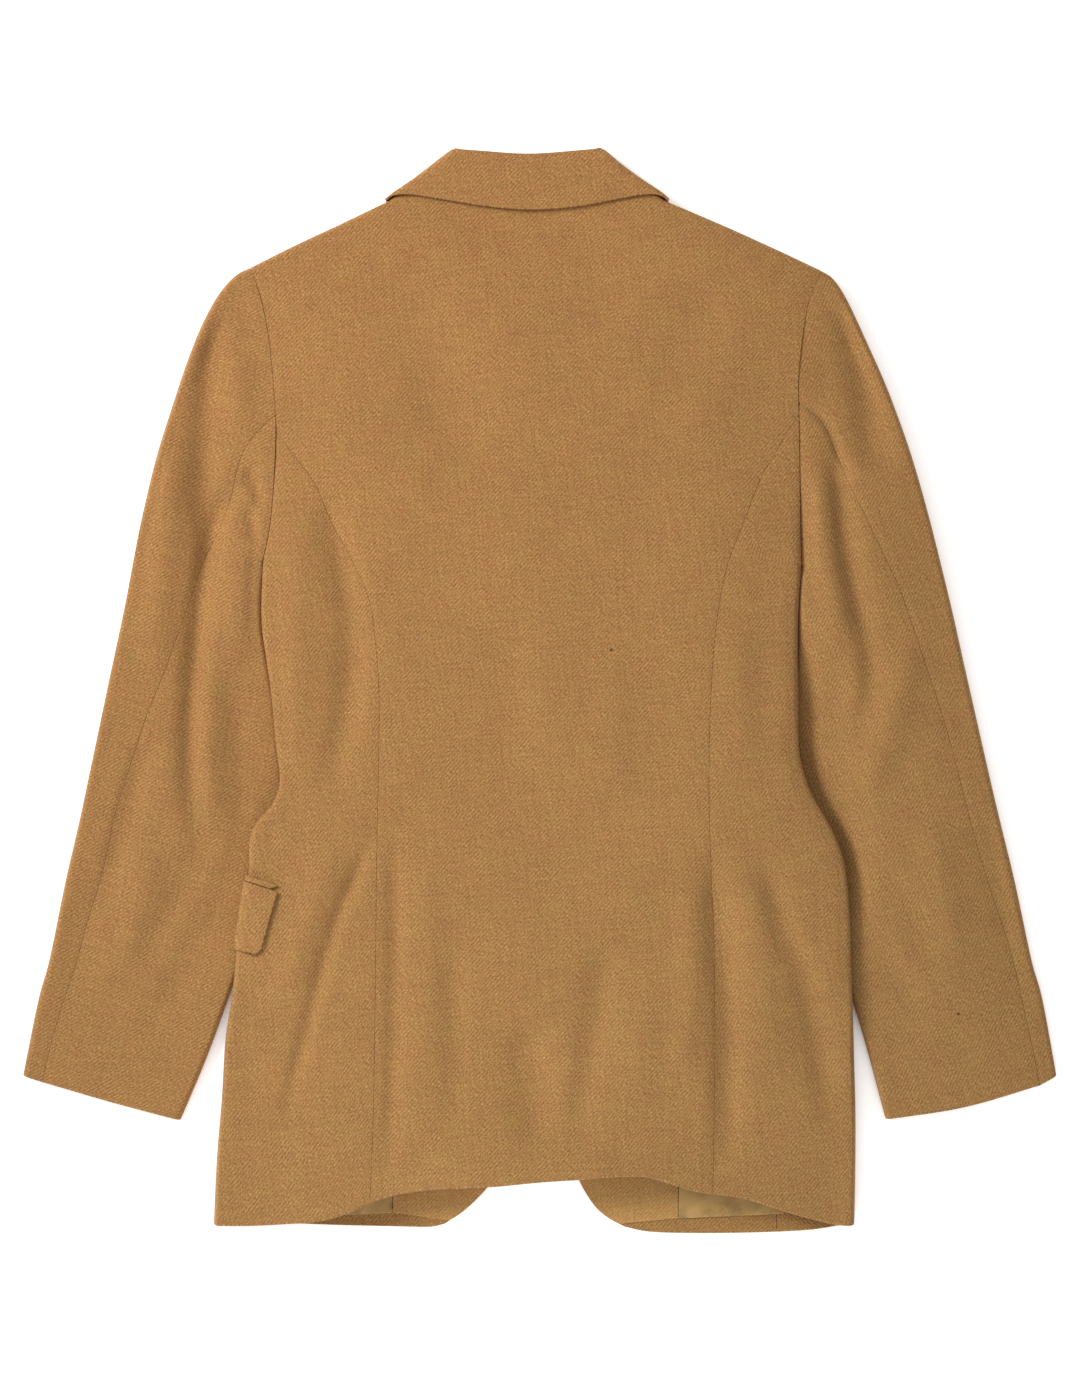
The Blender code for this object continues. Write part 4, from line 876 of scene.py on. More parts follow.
for side in SIDES:
    run, p = RUNS[side], PATHS[side]
    hind_u = share_at_level(p["hind"], UNDERARM_LEVEL)
    outer_j = share_at_level(p["outer"], CAP_LEVEL)
    outer_u = share_at_level(p["outer"], UNDERARM_LEVEL)
    fore_u = share_at_level(p["fore"], UNDERARM_LEVEL)
    arm_part = eased(chain(run["notch"], run["scye"]), side)
    front_part = eased(run["low_scye"], side)
    hind = chain(run_of(p["hind"], 0, hind_u, ARM_STEPS), run_of(p["hind"], hind_u, 1, SLEEVE_ROWS))
    fore_steps = ARM_STEPS - NOTCH_STEPS
    fore = chain(run_of(p["fore"], 0, fore_u, fore_steps), run_of(p["fore"], fore_u, 1, SLEEVE_ROWS))
    fold = run_of(p["inner"], 0, 1, SLEEVE_ROWS)
    outer = chain(run_of(p["outer"], 0, outer_j, CAP_STEPS, fine_start=True),
                  run_of(p["outer"], outer_j, outer_u, ARM_STEPS),
                  run_of(p["outer"], outer_u, 1, SLEEVE_ROWS))
    hind[0] = run["cap"][-1]
    fore[0] = run["low_cap"][-1]
    over = rows_between(outer[TIP_ROWS:], chain(run["cap"], hind)[TIP_ROWS:], TOP_COLUMNS, True)
    under = rows_between(outer[TIP_ROWS:], chain(run["low_cap"], fore)[TIP_ROWS:], LOW_COLUMNS, True)
    over, under = sleeve_point(side, over, 1), sleeve_point(side, under, -1)
    add_cloth(f"sleeve_top_{side}", [over, under], [cloth_marks(over, 1), cloth_marks(under, -1)],
              (CROSS[side], 0, 0), "wool", thick=cuff_thick, turns=[1, -1], grain=SLEEVE_GRAIN[side])
    arm_part[0], front_part[0] = hind[0], fore[0]
    edge = np.vstack([arm_part, fold[1:]])[::-1].copy()
    low_edge = np.vstack([front_part, fold[1:]])[::-1].copy()
    hind, fore = hind[::-1].copy(), fore[::-1].copy()
    blunt(edge, hind)
    blunt(low_edge, fore)
    middle = 0.5 * (edge[0] + hind[0]) + np.array([0, -CUFF_BOWS[side]])
    cuff = smooth([edge[0], middle, hind[0]])
    over = sleeve_point(side, rows_between(edge, hind, TOP_COLUMNS, True, near=cuff, reach=12.0), 1)
    under = sleeve_point(side, rows_between(low_edge, fore, LOW_COLUMNS, True), -1)
    add_cloth(f"sleeve_under_{side}", [over, under], [cloth_marks(over, 1), cloth_marks(under, -1)],
              (0, 0, 1), "wool", thick=cuff_thick, turns=[1, -1], grain=SLEEVE_GRAIN[side])

# %% [markdown]
# ## Small pieces
# The collar leaf falls over the back neck and turns under at both sides to the notch. Facing and
# lining show only in the arch of the hem. Flap and jet wrap the side fold at the left pocket.

# %% Collar leaf and stand
LEAF_ROWS, LEAF_COLUMNS, WING_COLUMNS = 22, 48, 18
LEAF_LOWEST, LEAF_ROLL, LEAF_ROLL_WIDTH = 15.6, 2.5, 12
LEAF_MEETS, LEAF_MEETS_MORE, LEAF_MEETS_LEVELS = 0.5, 0.4, (394, 374)
STAND_ROWS, STAND_COLUMNS, STAND_HEIGHT = 40, 8, 11.0
STAND_NECK, STAND_ROLL = (0.14, 0.86, 3.0), (0.1, 0.9, -4.5)


def leaf_point(rows, layer):
    """Points of the collar's outer face, above the neck or below the fronts."""
    x, y = rows[..., 0], rows[..., 1]
    top = np.maximum(body_top(x, y), LEAF_LOWEST) + LAY_GAP + CLOTH
    low = LOW_BASE - LAY_GAP - CLOTH
    opened = rounding(fold_gap([smooth(LEAF_FOLDS[side]) for side in SIDES], rows))
    roll = smoothstep(LEAF_ROLL_WIDTH, 0, distance_to(smooth(ROLL_LINE), rows)[0]) if layer > 0 else 0.0
    middle = low + (top - low) * (LEAF_MEETS + LEAF_MEETS_MORE * smoothstep(*LEAF_MEETS_LEVELS, y))
    height = middle + opened * ((top if layer > 0 else low) - middle)
    return np.stack([x, y, height - LEAF_ROLL * roll * opened], axis=-1)


left, right = [run_of(smooth(LEAF_FOLDS[side]), 0, 1, LEAF_ROWS) for side in SIDES]
fine = fold_distances() / np.linalg.norm(left[0] - right[0])
across = np.linspace(fine[-1], 1 - fine[-1], LEAF_COLUMNS + 1)
across = np.concatenate([fine[:-1], across, 1 - fine[-2::-1]])
share = np.linspace(0, 1, LEAF_ROWS + 1)[:, None, None]
rows = left[:, None] * (1 - across[:, None]) + right[:, None] * across[:, None]
for line, weight in ((ROLL_LINE, 1 - share), (LEAF_EDGE, share)):
    rows = rows + bend_of(smooth(line), across) * weight
grids, turns = [leaf_point(rows, 1)], [1]
for start, side in ((left, "left"), (right, "right")):
    end = run_of(smooth(LEAF_WINGS[side]), 0, 1, LEAF_ROWS)
    grids.append(leaf_point(rows_between(start, end, WING_COLUMNS, True), -1))
    turns.append(int(CROSS[side]))
marks = [grids[0][..., :2]] + [cloth_marks(g, -1) for g in grids[1:]]
add_cloth("collar_leaf", grids, marks, (0, 0, 1), "wool", turns=turns)

neck, roll = [run_of(smooth(line), first, last, STAND_ROWS) + np.array([0, setback])
              for line, (first, last, setback) in ((BACK_NECK, STAND_NECK), (ROLL_LINE, STAND_ROLL))]
rows = rows_between(neck, roll, STAND_COLUMNS)
grid = np.concatenate([rows, np.full(rows.shape[:2] + (1,), STAND_HEIGHT)], axis=-1)
add_cloth("collar_stand", [grid], [rows], (0, 0, 1), "inside")

# %% Facings and linings
FACING_DROPS = dict(left=-6.4, right=-4.3)
FACING_WALL, FACING_INSET, FACING_END = 0.8, 1.2, 0.995
FACING_ROWS, FACING_COLUMNS, DROP_ROWS = 40, 16, 14
LINING_TILT, LINING_COLUMNS, LINING_ROWS = 0.045, 23, 21
LINING_SWELL, LINING_WAVE, LINING_STEEP, LINING_PHASE, LINING_CALM = 1.5, 0.27, 0.19, 0.9, 5.0

for side in SIDES:
    starts = run_of(PATHS[side]["edge"], FACING_START, FACING_END, FACING_ROWS)
    starts = starts + np.array([-CROSS[side] * FACING_INSET, FACING_INSET])
    last = len(starts) - 1
    drop = FACING_DROPS[side] * smoothstep(last + 1 - DROP_ROWS, last, np.arange(last + 1))
    ends = np.stack([np.full(len(starts), FACING_INNER[side]), starts[:, 1] - drop], axis=-1)
    rows = rows_between(starts, ends, FACING_COLUMNS)
    add_cloth(f"facing_{side}", [inside_front(side, rows)], [rows], (0, 0, 1), "inside",
              wall=FACING_WALL, clear=0.5 * LAY_GAP + FACING_WALL)
    first, last, level = LININGS[side]
    across = np.linspace(first, last, LINING_COLUMNS + 1)
    upward = np.linspace(level, level + LINING_REACH, LINING_ROWS + 1)
    rows = np.stack(np.meshgrid(across, upward), axis=-1)
    rows[..., 1] += LINING_TILT * (rows[..., 0] - first)
    grid = inside_front(side, rows)
    out, up = rows[..., 0] - first, rows[..., 1] - level
    swell = np.sin(out * LINING_WAVE - up * LINING_STEEP - LINING_PHASE)
    grid[..., 2] += LINING_SWELL * np.maximum(swell, 0) ** 2 * np.clip(up / LINING_CALM, 0, 1)
    add_cloth(f"lining_{side}", [grid], [rows], (0, 0, 1), "lining", wall=LINING_WALL,
              clear=LAY_GAP + LINING_WALL)

# %% Flaps and jets
FLAP_CORNER, FLAP_STEPS, JET_STEPS, JET_WALL = 8.0, 14, 3, 1.0
LOW_STEPS, WRAP_STEPS, LOW_STEP = 24, 6, 4.0
FLAP_SLIP, JET_SLIP = -0.3, 0.2


def pocket_grids(side, start, depth, steps):
    """Outer faces under a flap or a jet: round the side fold, or on the low layer only."""
    fold, inward = PATHS[side]["fold"], -CROSS[side]
    wraps = FLAP_WRAP[side] > 0
    v = np.sin(np.linspace(0, 0.5 * math.pi, steps + 1))[:, None]
    y = start - depth * v
    x = np.interp(-y, -fold[:, 1], fold[:, 0])
    near = fold_distances()[None]
    starts = near if wraps else np.array([[FLAP_INSET]])
    onward = np.linspace(starts[0, -1] + LOW_STEP, FLAP_REACH, LOW_STEPS)[None]
    low = np.concatenate([starts, onward], axis=1) + 0 * v
    grids = [body_point(np.stack([x + inward * low, y + 0 * low], axis=-1), -1)]
    if wraps:
        corner = np.clip((depth * v - (depth - FLAP_CORNER)) / FLAP_CORNER, 0, 1) * (steps > JET_STEPS)
        reach = FLAP_WRAP[side] - FLAP_LEAN * v - FLAP_CORNER * (1 - np.sqrt(1 - corner ** 2))
        onward = near[0, -1] + (reach - near[0, -1]) * np.linspace(0, 1, WRAP_STEPS + 1)[1:]
        s = np.concatenate([near + 0 * v, onward], axis=1)
        grids.append(body_point(np.stack([x + inward * s, y - FLAP_SLOPE * s], axis=-1), 1))
    return grids


for side in SIDES:
    wraps = FLAP_WRAP[side] > 0
    outward = (CROSS[side], 0, 0) if wraps else (0, 0, -1)
    for name, above, depth, steps, wall in (
            ("flap", FLAP_SLIP, FLAP_DEPTH, FLAP_STEPS, CLOTH),
            ("flap_jet", JET_DEPTH + JET_SLIP, JET_DEPTH, JET_STEPS, JET_WALL)):
        grids = pocket_grids(side, POCKET_LEVELS[side] + above, depth, steps)
        marks = [cloth_marks(g, -1 if k == 0 else 1) for k, g in enumerate(grids)]
        add_cloth(f"{name}_{side}", grids, marks, outward, "wool", wall=wall, clear=FLAP_GAP + wall,
                  turns=[1, -1][:len(grids)])

# %% [markdown]
# ## Wool whipcord
# Whipcord is a steep twill: raised wales of twisted yarn run slantwise across the cloth. The wool
# is dyed before spinning, so camel, ochre and rust fibres lie side by side and the eye sees a warm
# heather. It is matt, and only the fibre ends catch a little light at a grazing angle.
# The wales are a sine along the marks of each piece, bent and broken by noise as real yarn is.
# The same sine darkens the colour in the troughs and lightens it on the tops: painted shade and painted
# highlight.
# Their pitch is drawn at 2.3 mm, a little coarser than the cloth, so that a picture can hold it.
# The jacket has been worn: it has faded from a warm camel at the left shoulder to a greener one
# at the right hem. Its sleeves are painted a little darker, the right one most: painted shade of light
# falling off away from the middle.

# %% Shader helpers
def hex_colour(text):
    """A colour from its sRGB hex, in linear light."""
    values = [int(text[k:k + 2], 16) / 255 for k in (1, 3, 5)]
    return tuple(v / 12.92 if v <= 0.04045 else ((v + 0.055) / 1.055) ** 2.4 for v in values) + (1.0,)


def node(tree, kind, inputs=None, **settings):
    """Add one shader node with its settings; each input is a value or another node's output."""
    new = tree.nodes.new(kind)
    for key, value in settings.items():
        setattr(new, key, value)
    for key, value in (inputs or {}).items():
        if isinstance(value, bpy.types.NodeSocket):
            tree.links.new(value, new.inputs[key])
        else:
            new.inputs[key].default_value = value
    return new


def new_finish(name, roughness, **constants):
    """A material with its main shader, whose constant values are set on the sockets."""
    material = bpy.data.materials.new(name)
    material.use_nodes = True
    shader = material.node_tree.nodes["Principled BSDF"]
    shader.inputs["Roughness"].default_value = roughness
    for key, value in constants.items():
        shader.inputs[key.replace("_", " ")].default_value = value
    return material, material.node_tree, shader


# %% Wool: wales, fade, painted shade of light falling off, and specks
WALE_PITCH = 2.3
WALE_SWAY = 2.2
WALE_STRENGTH = (0.35, 1.0)
YARN_SHADES = (0.30, 0.51, 0.72)
WALE_PAINTED_SHADE, WALE_RISE = 0.08, 0.22
STREAK_TURN = math.radians(42)
STREAK_SCALES = ((0.035, 0.40, 1.0), (0.40, 0.04, 1.0))
YARN_STRETCH = (1.0, 0.5, 1.0)
STRENGTH_REACH = (0.35, 0.65)
WARMTH, DEPTH, SLUB_REACH, SLUB = (0.492, 0.504), (0.97, 1.03), (0.7, 1.3), (0.90, 1.10)
SPECKS = [(52.5, 29.8), (309.4, -239.2)]
SPECK_RADIUS, SPECK_SHADE, SPECK_EDGE = 1.15, 0.2, (0.4, 1.4)
FADE_WAY = (0.55, -0.7, 0.0)
FADE_REACH = (-0.30, 0.30)
FADE_HUE = (-0.0020, 0.0042)
FADE_SATURATION = (1.006, 0.985)
# painted shade: the wool's value falls off away from a point near the middle, most over the sleeves
FALLOFF_CENTRE = (-0.05, 0.0, 0.0)
FALLOFF_STRETCH = (1.0, 0.35, 0.0)
FALLOFF_REACH = (0.15, 0.36)
FALLOFF_VALUE = (1.0, 0.88)
IN_PLAN = (1.0, 1.0, 0.0)
MOST_NOISE = (0.3, 0.7)
RANGE_SOCKETS = ("From Min", "From Max", "To Min", "To Max")


def wool_noises(tree, marks):
    """Uneven looks of wool, each from its marks, scale per millimetre, detail and roughness."""
    long_yarn = node(tree, "ShaderNodeMapping", {"Vector": marks, "Scale": YARN_STRETCH}).outputs[0]
    laid = node(tree, "ShaderNodeMapping", {"Vector": marks, "Rotation": (0, 0, STREAK_TURN)}).outputs[0]
    warp, weft = [node(tree, "ShaderNodeMapping", {"Vector": laid, "Scale": scale}).outputs[0]
                  for scale in STREAK_SCALES]
    looks = dict(sway=(marks, 0.04, 5.0, 0.5), yarn=(long_yarn, 1.05, 2.5, 0.65),
                 strength=(marks, 0.07, 2.0, 0.5), warp=(warp, 1.0, 3.0, 0.5), weft=(weft, 1.0, 3.0, 0.5),
                 heather=(marks, 0.055, 4.0, 0.6), depth=(marks, 0.012, 3.0, 0.5))
    return {name: node(tree, "ShaderNodeTexNoise", {"Vector": vector, "Scale": scale, "Detail": detail,
                                                    "Roughness": rough}).outputs["Fac"]
            for name, (vector, scale, detail, rough) in looks.items()}


def wool_shades(tree, noises):
    """The slow changes of the wool over the whole jacket: hue, saturation, and factors of its value, one
    of them painted shade that darkens the sleeves as light falling off.
    """
    place = node(tree, "ShaderNodeTexCoord").outputs["Object"]
    flat, across = [node(tree, "ShaderNodeVectorMath", {0: place, 1: scale},
                         operation="MULTIPLY").outputs[0] for scale in (IN_PLAN, FALLOFF_STRETCH)]
    faded = node(tree, "ShaderNodeVectorMath", {0: place, 1: FADE_WAY}, operation="DOT_PRODUCT")
    faded = faded.outputs["Value"]
    slub = node(tree, "ShaderNodeMath", {0: noises["warp"], 1: noises["weft"]}).outputs[0]
    ranges = [("hue", faded, FADE_REACH, FADE_HUE), ("saturation", faded, FADE_REACH, FADE_SATURATION),
              ("warmth", noises["heather"], MOST_NOISE, WARMTH),
              ("depth", noises["depth"], MOST_NOISE, DEPTH), ("slub", slub, SLUB_REACH, SLUB)]
    # painted shade: darker away from a point near the middle, over the sleeves most, as light falling off
    # toward the edges
    spots = [("painted_falloff", across, FALLOFF_CENTRE, FALLOFF_REACH, FALLOFF_VALUE)]
    for number, (x, y) in enumerate(SPECKS):
        edge = tuple(share * SPECK_RADIUS * MM for share in SPECK_EDGE)
        spots.append((f"speck_{number}", flat, (x * MM, y * MM, 0.0), edge, (SPECK_SHADE, 1.0)))
    for name, spot, centre, reach, onto in spots:
        apart = node(tree, "ShaderNodeVectorMath", {0: spot, 1: centre}, operation="DISTANCE")
        ranges.append((name, apart.outputs["Value"], reach, onto))
    return {name: node(tree, "ShaderNodeMapRange",
                       {"Value": value, **dict(zip(RANGE_SOCKETS, reach + onto))}).outputs[0]
            for name, value, reach, onto in ranges}


def wool_finish(name, shades, relief):
    """Whipcord in three shades of its yarn, with painted shade in its wale troughs and painted highlight
    on their tops; relief is the height of its wales in millimetres.
    """
    material, tree, shader = new_finish(name, 0.88, Specular_IOR_Level=0.22, Sheen_Weight=0.12,
                                        Sheen_Roughness=0.45)
    marks = node(tree, "ShaderNodeUVMap", uv_map="cloth").outputs["UV"]
    noises = wool_noises(tree, marks)
    across = node(tree, "ShaderNodeSeparateXYZ", {0: marks}).outputs["X"]
    swayed = node(tree, "ShaderNodeMath", {0: noises["sway"], 1: WALE_SWAY, 2: across},
                  operation="MULTIPLY_ADD")
    turn = node(tree, "ShaderNodeMath", {0: swayed.outputs[0], 1: 2 * math.pi / WALE_PITCH},
                operation="MULTIPLY")
    wale = node(tree, "ShaderNodeMath", {0: turn.outputs[0]}, operation="SINE")
    limits = dict(zip(RANGE_SOCKETS, STRENGTH_REACH + WALE_STRENGTH))
    shown = node(tree, "ShaderNodeMapRange", {"Value": noises["strength"], **limits})
    ridge = node(tree, "ShaderNodeMath", {0: wale.outputs[0], 1: shown.outputs[0]}, operation="MULTIPLY")
    # painted shade and highlight: the wale sine moves the colour darker in the troughs and lighter on the
    # tops; the yarn noise is the wool's own mottle
    wale_light_and_yarn_at, high = [node(tree, "ShaderNodeMath", {0: ridge.outputs[0], 1: share, 2: noises["yarn"]},
                           operation="MULTIPLY_ADD").outputs[0] for share in (WALE_PAINTED_SHADE, WALE_RISE)]
    shade = node(tree, "ShaderNodeValToRGB", {0: wale_light_and_yarn_at})
    shade.color_ramp.elements.new(YARN_SHADES[1])
    for stop, at, colour in zip(shade.color_ramp.elements, YARN_SHADES, shades):
        stop.position = at
        stop.color = hex_colour(colour)
    slow = wool_shades(tree, noises)
    hue = node(tree, "ShaderNodeMath", {0: slow.pop("warmth"), 1: slow.pop("hue")})
    saturation = slow.pop("saturation")
    value = slow.pop("slub")
    for factor in slow.values():
        value = node(tree, "ShaderNodeMath", {0: value, 1: factor}, operation="MULTIPLY").outputs[0]
    tint = node(tree, "ShaderNodeHueSaturation", {"Hue": hue.outputs[0], "Saturation": saturation,
                                                  "Value": value, "Color": shade.outputs[0]})
    tree.links.new(tint.outputs[0], shader.inputs["Base Color"])
    bump = node(tree, "ShaderNodeBump", {"Strength": 1.0, "Distance": relief * MM, "Height": high})
    tree.links.new(bump.outputs[0], shader.inputs["Normal"])
    return material


# the inside finish is a paler copy of the same whipcord: painted light that lifts the facings lying in
# shade under the back's hem
FINISHES = dict(
    wool=wool_finish("camel_whipcord", ("#8F612C", "#AE7F49", "#CB9F68"), 0.32),
    inside=wool_finish("camel_whipcord_inside_painted_light", ("#B28043", "#CB995B", "#DFB072"), 0.3))
print("wool finishes", sorted(FINISHES))

# %% [markdown]
# ## Lining, horn and thread
# The lining is a viscose satin: long floats with almost no crossings, so light slides along them in
# one soft band. The buttons are cut horn, polished, with darker and paler growth streaks.

# %% Lining, horn and thread
SATIN_FLOATS = (3.0, 0.25, 1.0)
HORN_GROWTH = (60.0, 380.0, 200.0)
THREAD_GRAIN = 2600.0


def two_shades(tree, shader, value, at, shades, relief=None):
    """Colour a finish between two shades by a value, and raise it in relief where that is given."""
    shade = node(tree, "ShaderNodeValToRGB", {0: value})
    for stop, place, colour in zip(shade.color_ramp.elements, at, shades):
        stop.position = place
        stop.color = hex_colour(colour)
    tree.links.new(shade.outputs[0], shader.inputs["Base Color"])
    if relief:
        height, depth = relief
        bump = node(tree, "ShaderNodeBump", {"Distance": depth * MM, "Height": height})
        tree.links.new(bump.outputs[0], shader.inputs["Normal"])


def lining_finish():
    """Olive satin with fine floats along the cloth."""
    material, tree, shader = new_finish("olive_satin", 0.42, Specular_IOR_Level=0.45, Anisotropic=0.5,
                                        Sheen_Weight=0.1)
    marks = node(tree, "ShaderNodeUVMap", uv_map="cloth").outputs["UV"]
    stretched = node(tree, "ShaderNodeMapping", {"Vector": marks, "Scale": SATIN_FLOATS})
    floats = node(tree, "ShaderNodeTexNoise", {"Vector": stretched.outputs[0], "Scale": 0.8,
                                               "Detail": 3.0})
    cloudy = node(tree, "ShaderNodeTexNoise", {"Vector": marks, "Scale": 0.06, "Detail": 2.0})
    mixed = node(tree, "ShaderNodeMath", {0: floats.outputs["Fac"], 1: cloudy.outputs["Fac"]})
    two_shades(tree, shader, mixed.outputs[0], (0.8, 1.2), ("#A17E46", "#C29B5B"),
               (floats.outputs["Fac"], 0.05))
    return material


def horn_finish():
    """Polished brown horn with growth streaks through the button."""
    material, tree, shader = new_finish("brown_horn", 0.28, IOR=1.55, Coat_Weight=0.2)
    place = node(tree, "ShaderNodeTexCoord").outputs["Object"]
    grown = node(tree, "ShaderNodeMapping", {"Vector": place, "Scale": HORN_GROWTH})
    streak = node(tree, "ShaderNodeTexNoise", {"Vector": grown.outputs[0], "Scale": 1.0, "Detail": 4.0})
    two_shades(tree, shader, streak.outputs["Fac"], (0.35, 0.7), ("#3A2616", "#8A6238"),
               (streak.outputs["Fac"], 0.02))
    return material


def thread_finish():
    """Twisted sewing thread in the shade of the wool."""
    material, tree, shader = new_finish("camel_thread", 0.7, Sheen_Weight=0.15)
    place = node(tree, "ShaderNodeTexCoord").outputs["Object"]
    ply = node(tree, "ShaderNodeTexNoise", {"Vector": place, "Scale": THREAD_GRAIN, "Detail": 2.0})
    two_shades(tree, shader, ply.outputs["Fac"], (0.0, 1.0), ("#7C5630", "#B98C5A"),
               (ply.outputs["Fac"], 0.05))
    return material


FINISHES.update(lining=lining_finish(), horn=horn_finish(), thread=thread_finish())
for name, piece in PIECES.items():
    piece["object"].data.materials.append(FINISHES[piece["finish"]])
print("finishes", sorted(FINISHES))

# %% [markdown]
# ## Buttons and buttonholes
# A horn button is turned from a slice: a raised rim, a dished middle and four drilled holes. It is
# sewn on with a wrapped shank. It lies face down here, below the front with the buttonholes.

# %% Buttons
BUTTON_REST = 0.35
BUTTON_PLACES = [(-4.0, 75.0), (-4.0, -25.0), (-4.0, -125.0)]
BUTTON_RINGS = [(0.0, 1.15), (3.6, 1.15), (6.2, 0.95), (7.4, 0.35), (8.4, 0.02), (9.3, 0.12), (9.85, 0.6),
                (10.0, 1.2), (9.85, 2.2), (9.3, 2.9), (8.2, 3.2), (0.0, 3.2)]
HOLES, HOLE_REACH, HOLE_RADIUS, DRILL_STEPS, DRILL_ENDS = 4, 2.0, 0.95, 16, (-1.0, 5.0)
TURN_STEPS = 48
SHARP_EDGE = math.radians(32)


def add_mesh(name, verts, faces, finish):
    """One smooth mesh object from points in millimetres."""
    mesh = bpy.data.meshes.new(name)
    mesh.from_pydata((np.array(verts) * MM).tolist(), [], faces)
    mesh.validate()
    mesh.polygons.foreach_set("use_smooth", [True] * len(mesh.polygons))
    mesh.materials.append(FINISHES[finish])
    mesh.update()
    return placed(name, mesh)


def turned_solid(rings, steps):
    """Points and faces of a lathe-turned shape from rows of radius and height."""
    angles = np.arange(steps) * 2 * math.pi / steps
    verts = [(0.0, 0.0, rings[0][1])]
    for radius, height in rings[1:-1]:
        verts += [(radius * math.cos(a), radius * math.sin(a), height) for a in angles]
    verts.append((0.0, 0.0, rings[-1][1]))
    faces = [(0, 1 + (k + 1) % steps, 1 + k) for k in range(steps)]
    for ring in range(len(rings) - 3):
        base = 1 + ring * steps
        for k in range(steps):
            other = (k + 1) % steps
            faces.append((base + k, base + other, base + steps + other, base + steps + k))
    base = 1 + (len(rings) - 3) * steps
    faces += [(base + k, base + (k + 1) % steps, len(verts) - 1) for k in range(steps)]
    return verts, faces


def tube(path, radius, steps=8):
    """Points and faces of a thread along a path, closed at both ends."""
    path = np.array(path, float)
    verts, faces = [], []
    for k, spot in enumerate(path):
        way = path[min(k + 1, len(path) - 1)] - path[max(k - 1, 0)]
        way /= np.linalg.norm(way)
        side = np.cross(way, (0.31, 0.17, 0.93))
        side /= np.linalg.norm(side)
        other = np.cross(way, side)
        for a in np.arange(steps) * 2 * math.pi / steps:
            verts.append(spot + radius * (math.cos(a) * side + math.sin(a) * other))
    for k in range(len(path) - 1):
        for j in range(steps):
            a, b = k * steps + j, k * steps + (j + 1) % steps
            faces.append((a, b, b + steps, a + steps))
    faces.append(tuple(range(steps))[::-1])
    faces.append(tuple((len(path) - 1) * steps + j for j in range(steps)))
    return verts, faces


def join_shapes(shapes):
    """Several lists of points and faces as one."""
    verts, faces = [], []
    for some_verts, some_faces in shapes:
        start = len(verts)
        verts += [tuple(v) for v in some_verts]
        faces += [tuple(i + start for i in f) for f in some_faces]
    return verts, faces


def button_mesh():
    """The turned button with its four holes cut through."""
    verts, faces = turned_solid(BUTTON_RINGS, TURN_STEPS)
    button = add_mesh("button_blank", verts, faces, "horn")
    below, above = DRILL_ENDS
    drill_rings = [(0, below), (HOLE_RADIUS, below), (HOLE_RADIUS, above), (0, above)]
    shapes = []
    for turn in range(HOLES):
        verts, faces = turned_solid(drill_rings, DRILL_STEPS)
        angle = (turn + 0.5) * 2 * math.pi / HOLES
        shift = np.array([HOLE_REACH * math.cos(angle), HOLE_REACH * math.sin(angle), 0])
        shapes.append(([np.array(v) + shift for v in verts], faces))
    drill = add_mesh("drill", *join_shapes(shapes), "horn")
    cut = button.modifiers.new("holes", "BOOLEAN")
    cut.operation, cut.object, cut.solver = "DIFFERENCE", drill, "EXACT"
    bpy.context.view_layer.update()
    mesh = bpy.data.meshes.new_from_object(button.evaluated_get(bpy.context.evaluated_depsgraph_get()))
    bpy.data.objects.remove(button)
    bpy.data.objects.remove(drill)
    work = bmesh.new()
    work.from_mesh(mesh)
    for edge in work.edges:
        edge.smooth = len(edge.link_faces) == 2 and edge.calc_face_angle() < SHARP_EDGE
    work.to_mesh(mesh)
    work.free()
    return mesh


# %% Thread and buttonholes
THREAD_RADIUS, THREAD_GAP, STITCH_TOP, STITCH_SINK, STITCH_END = 0.19, 0.35, 1.05, 0.75, 3.4
SHANK_RADIUS, SHANK_TURNS, SHANK_START, SHANK_HEIGHT, SHANK_THREAD = 1.25, 5, 3.3, 0.75, 0.17
HOLE_HALF, HOLE_WIDE, EYE_LENGTH, EYE_SWELL = 12.5, 1.15, 4.0, 0.8
HOLE_MARKS, HOLE_STITCHES, STITCH_WAVE, STITCH_RADIUS = 130, 75, 0.09, 0.42
HOLE_SHIFT, HOLE_SINK = 3.5, 0.12


def thread_shapes():
    """Thread through the holes and over the face in two bars, and wound round the shank."""
    shapes = []
    reach = HOLE_REACH / math.sqrt(2)
    for offset in (-THREAD_GAP, 0.0, THREAD_GAP):
        for sign in (-1, 1):
            y = sign * reach + offset
            arc = [(-reach + 2 * reach * t, y, STITCH_TOP - STITCH_SINK * math.sin(math.pi * t))
                   for t in np.linspace(0, 1, 9)]
            path = [(-reach, y, STITCH_END)] + arc + [(reach, y, STITCH_END)]
            shapes.append(tube(path, THREAD_RADIUS))
    turns = np.linspace(0, SHANK_TURNS * 2 * math.pi, 18 * SHANK_TURNS)
    wound = [(SHANK_RADIUS * math.cos(a), SHANK_RADIUS * math.sin(a),
              SHANK_START + SHANK_HEIGHT * a / turns[-1]) for a in turns]
    shapes.append(tube(wound, SHANK_THREAD, 6))
    return join_shapes(shapes)


def buttonhole_shapes():
    """A keyhole worked in close stitches, drawn as a ridge round its slit."""
    outline = []
    for t in np.linspace(0, 1, HOLE_MARKS):
        angle = 2 * math.pi * t
        x, y = HOLE_HALF * math.cos(angle), HOLE_WIDE * math.sin(angle)
        if x > HOLE_HALF - EYE_LENGTH:
            y *= 1 + EYE_SWELL * (x - HOLE_HALF + EYE_LENGTH) / EYE_LENGTH
        wave = 1 + STITCH_WAVE * math.sin(angle * HOLE_STITCHES)
        outline.append((x, y * wave, 0.0))
    return tube(outline, STITCH_RADIUS, 6)


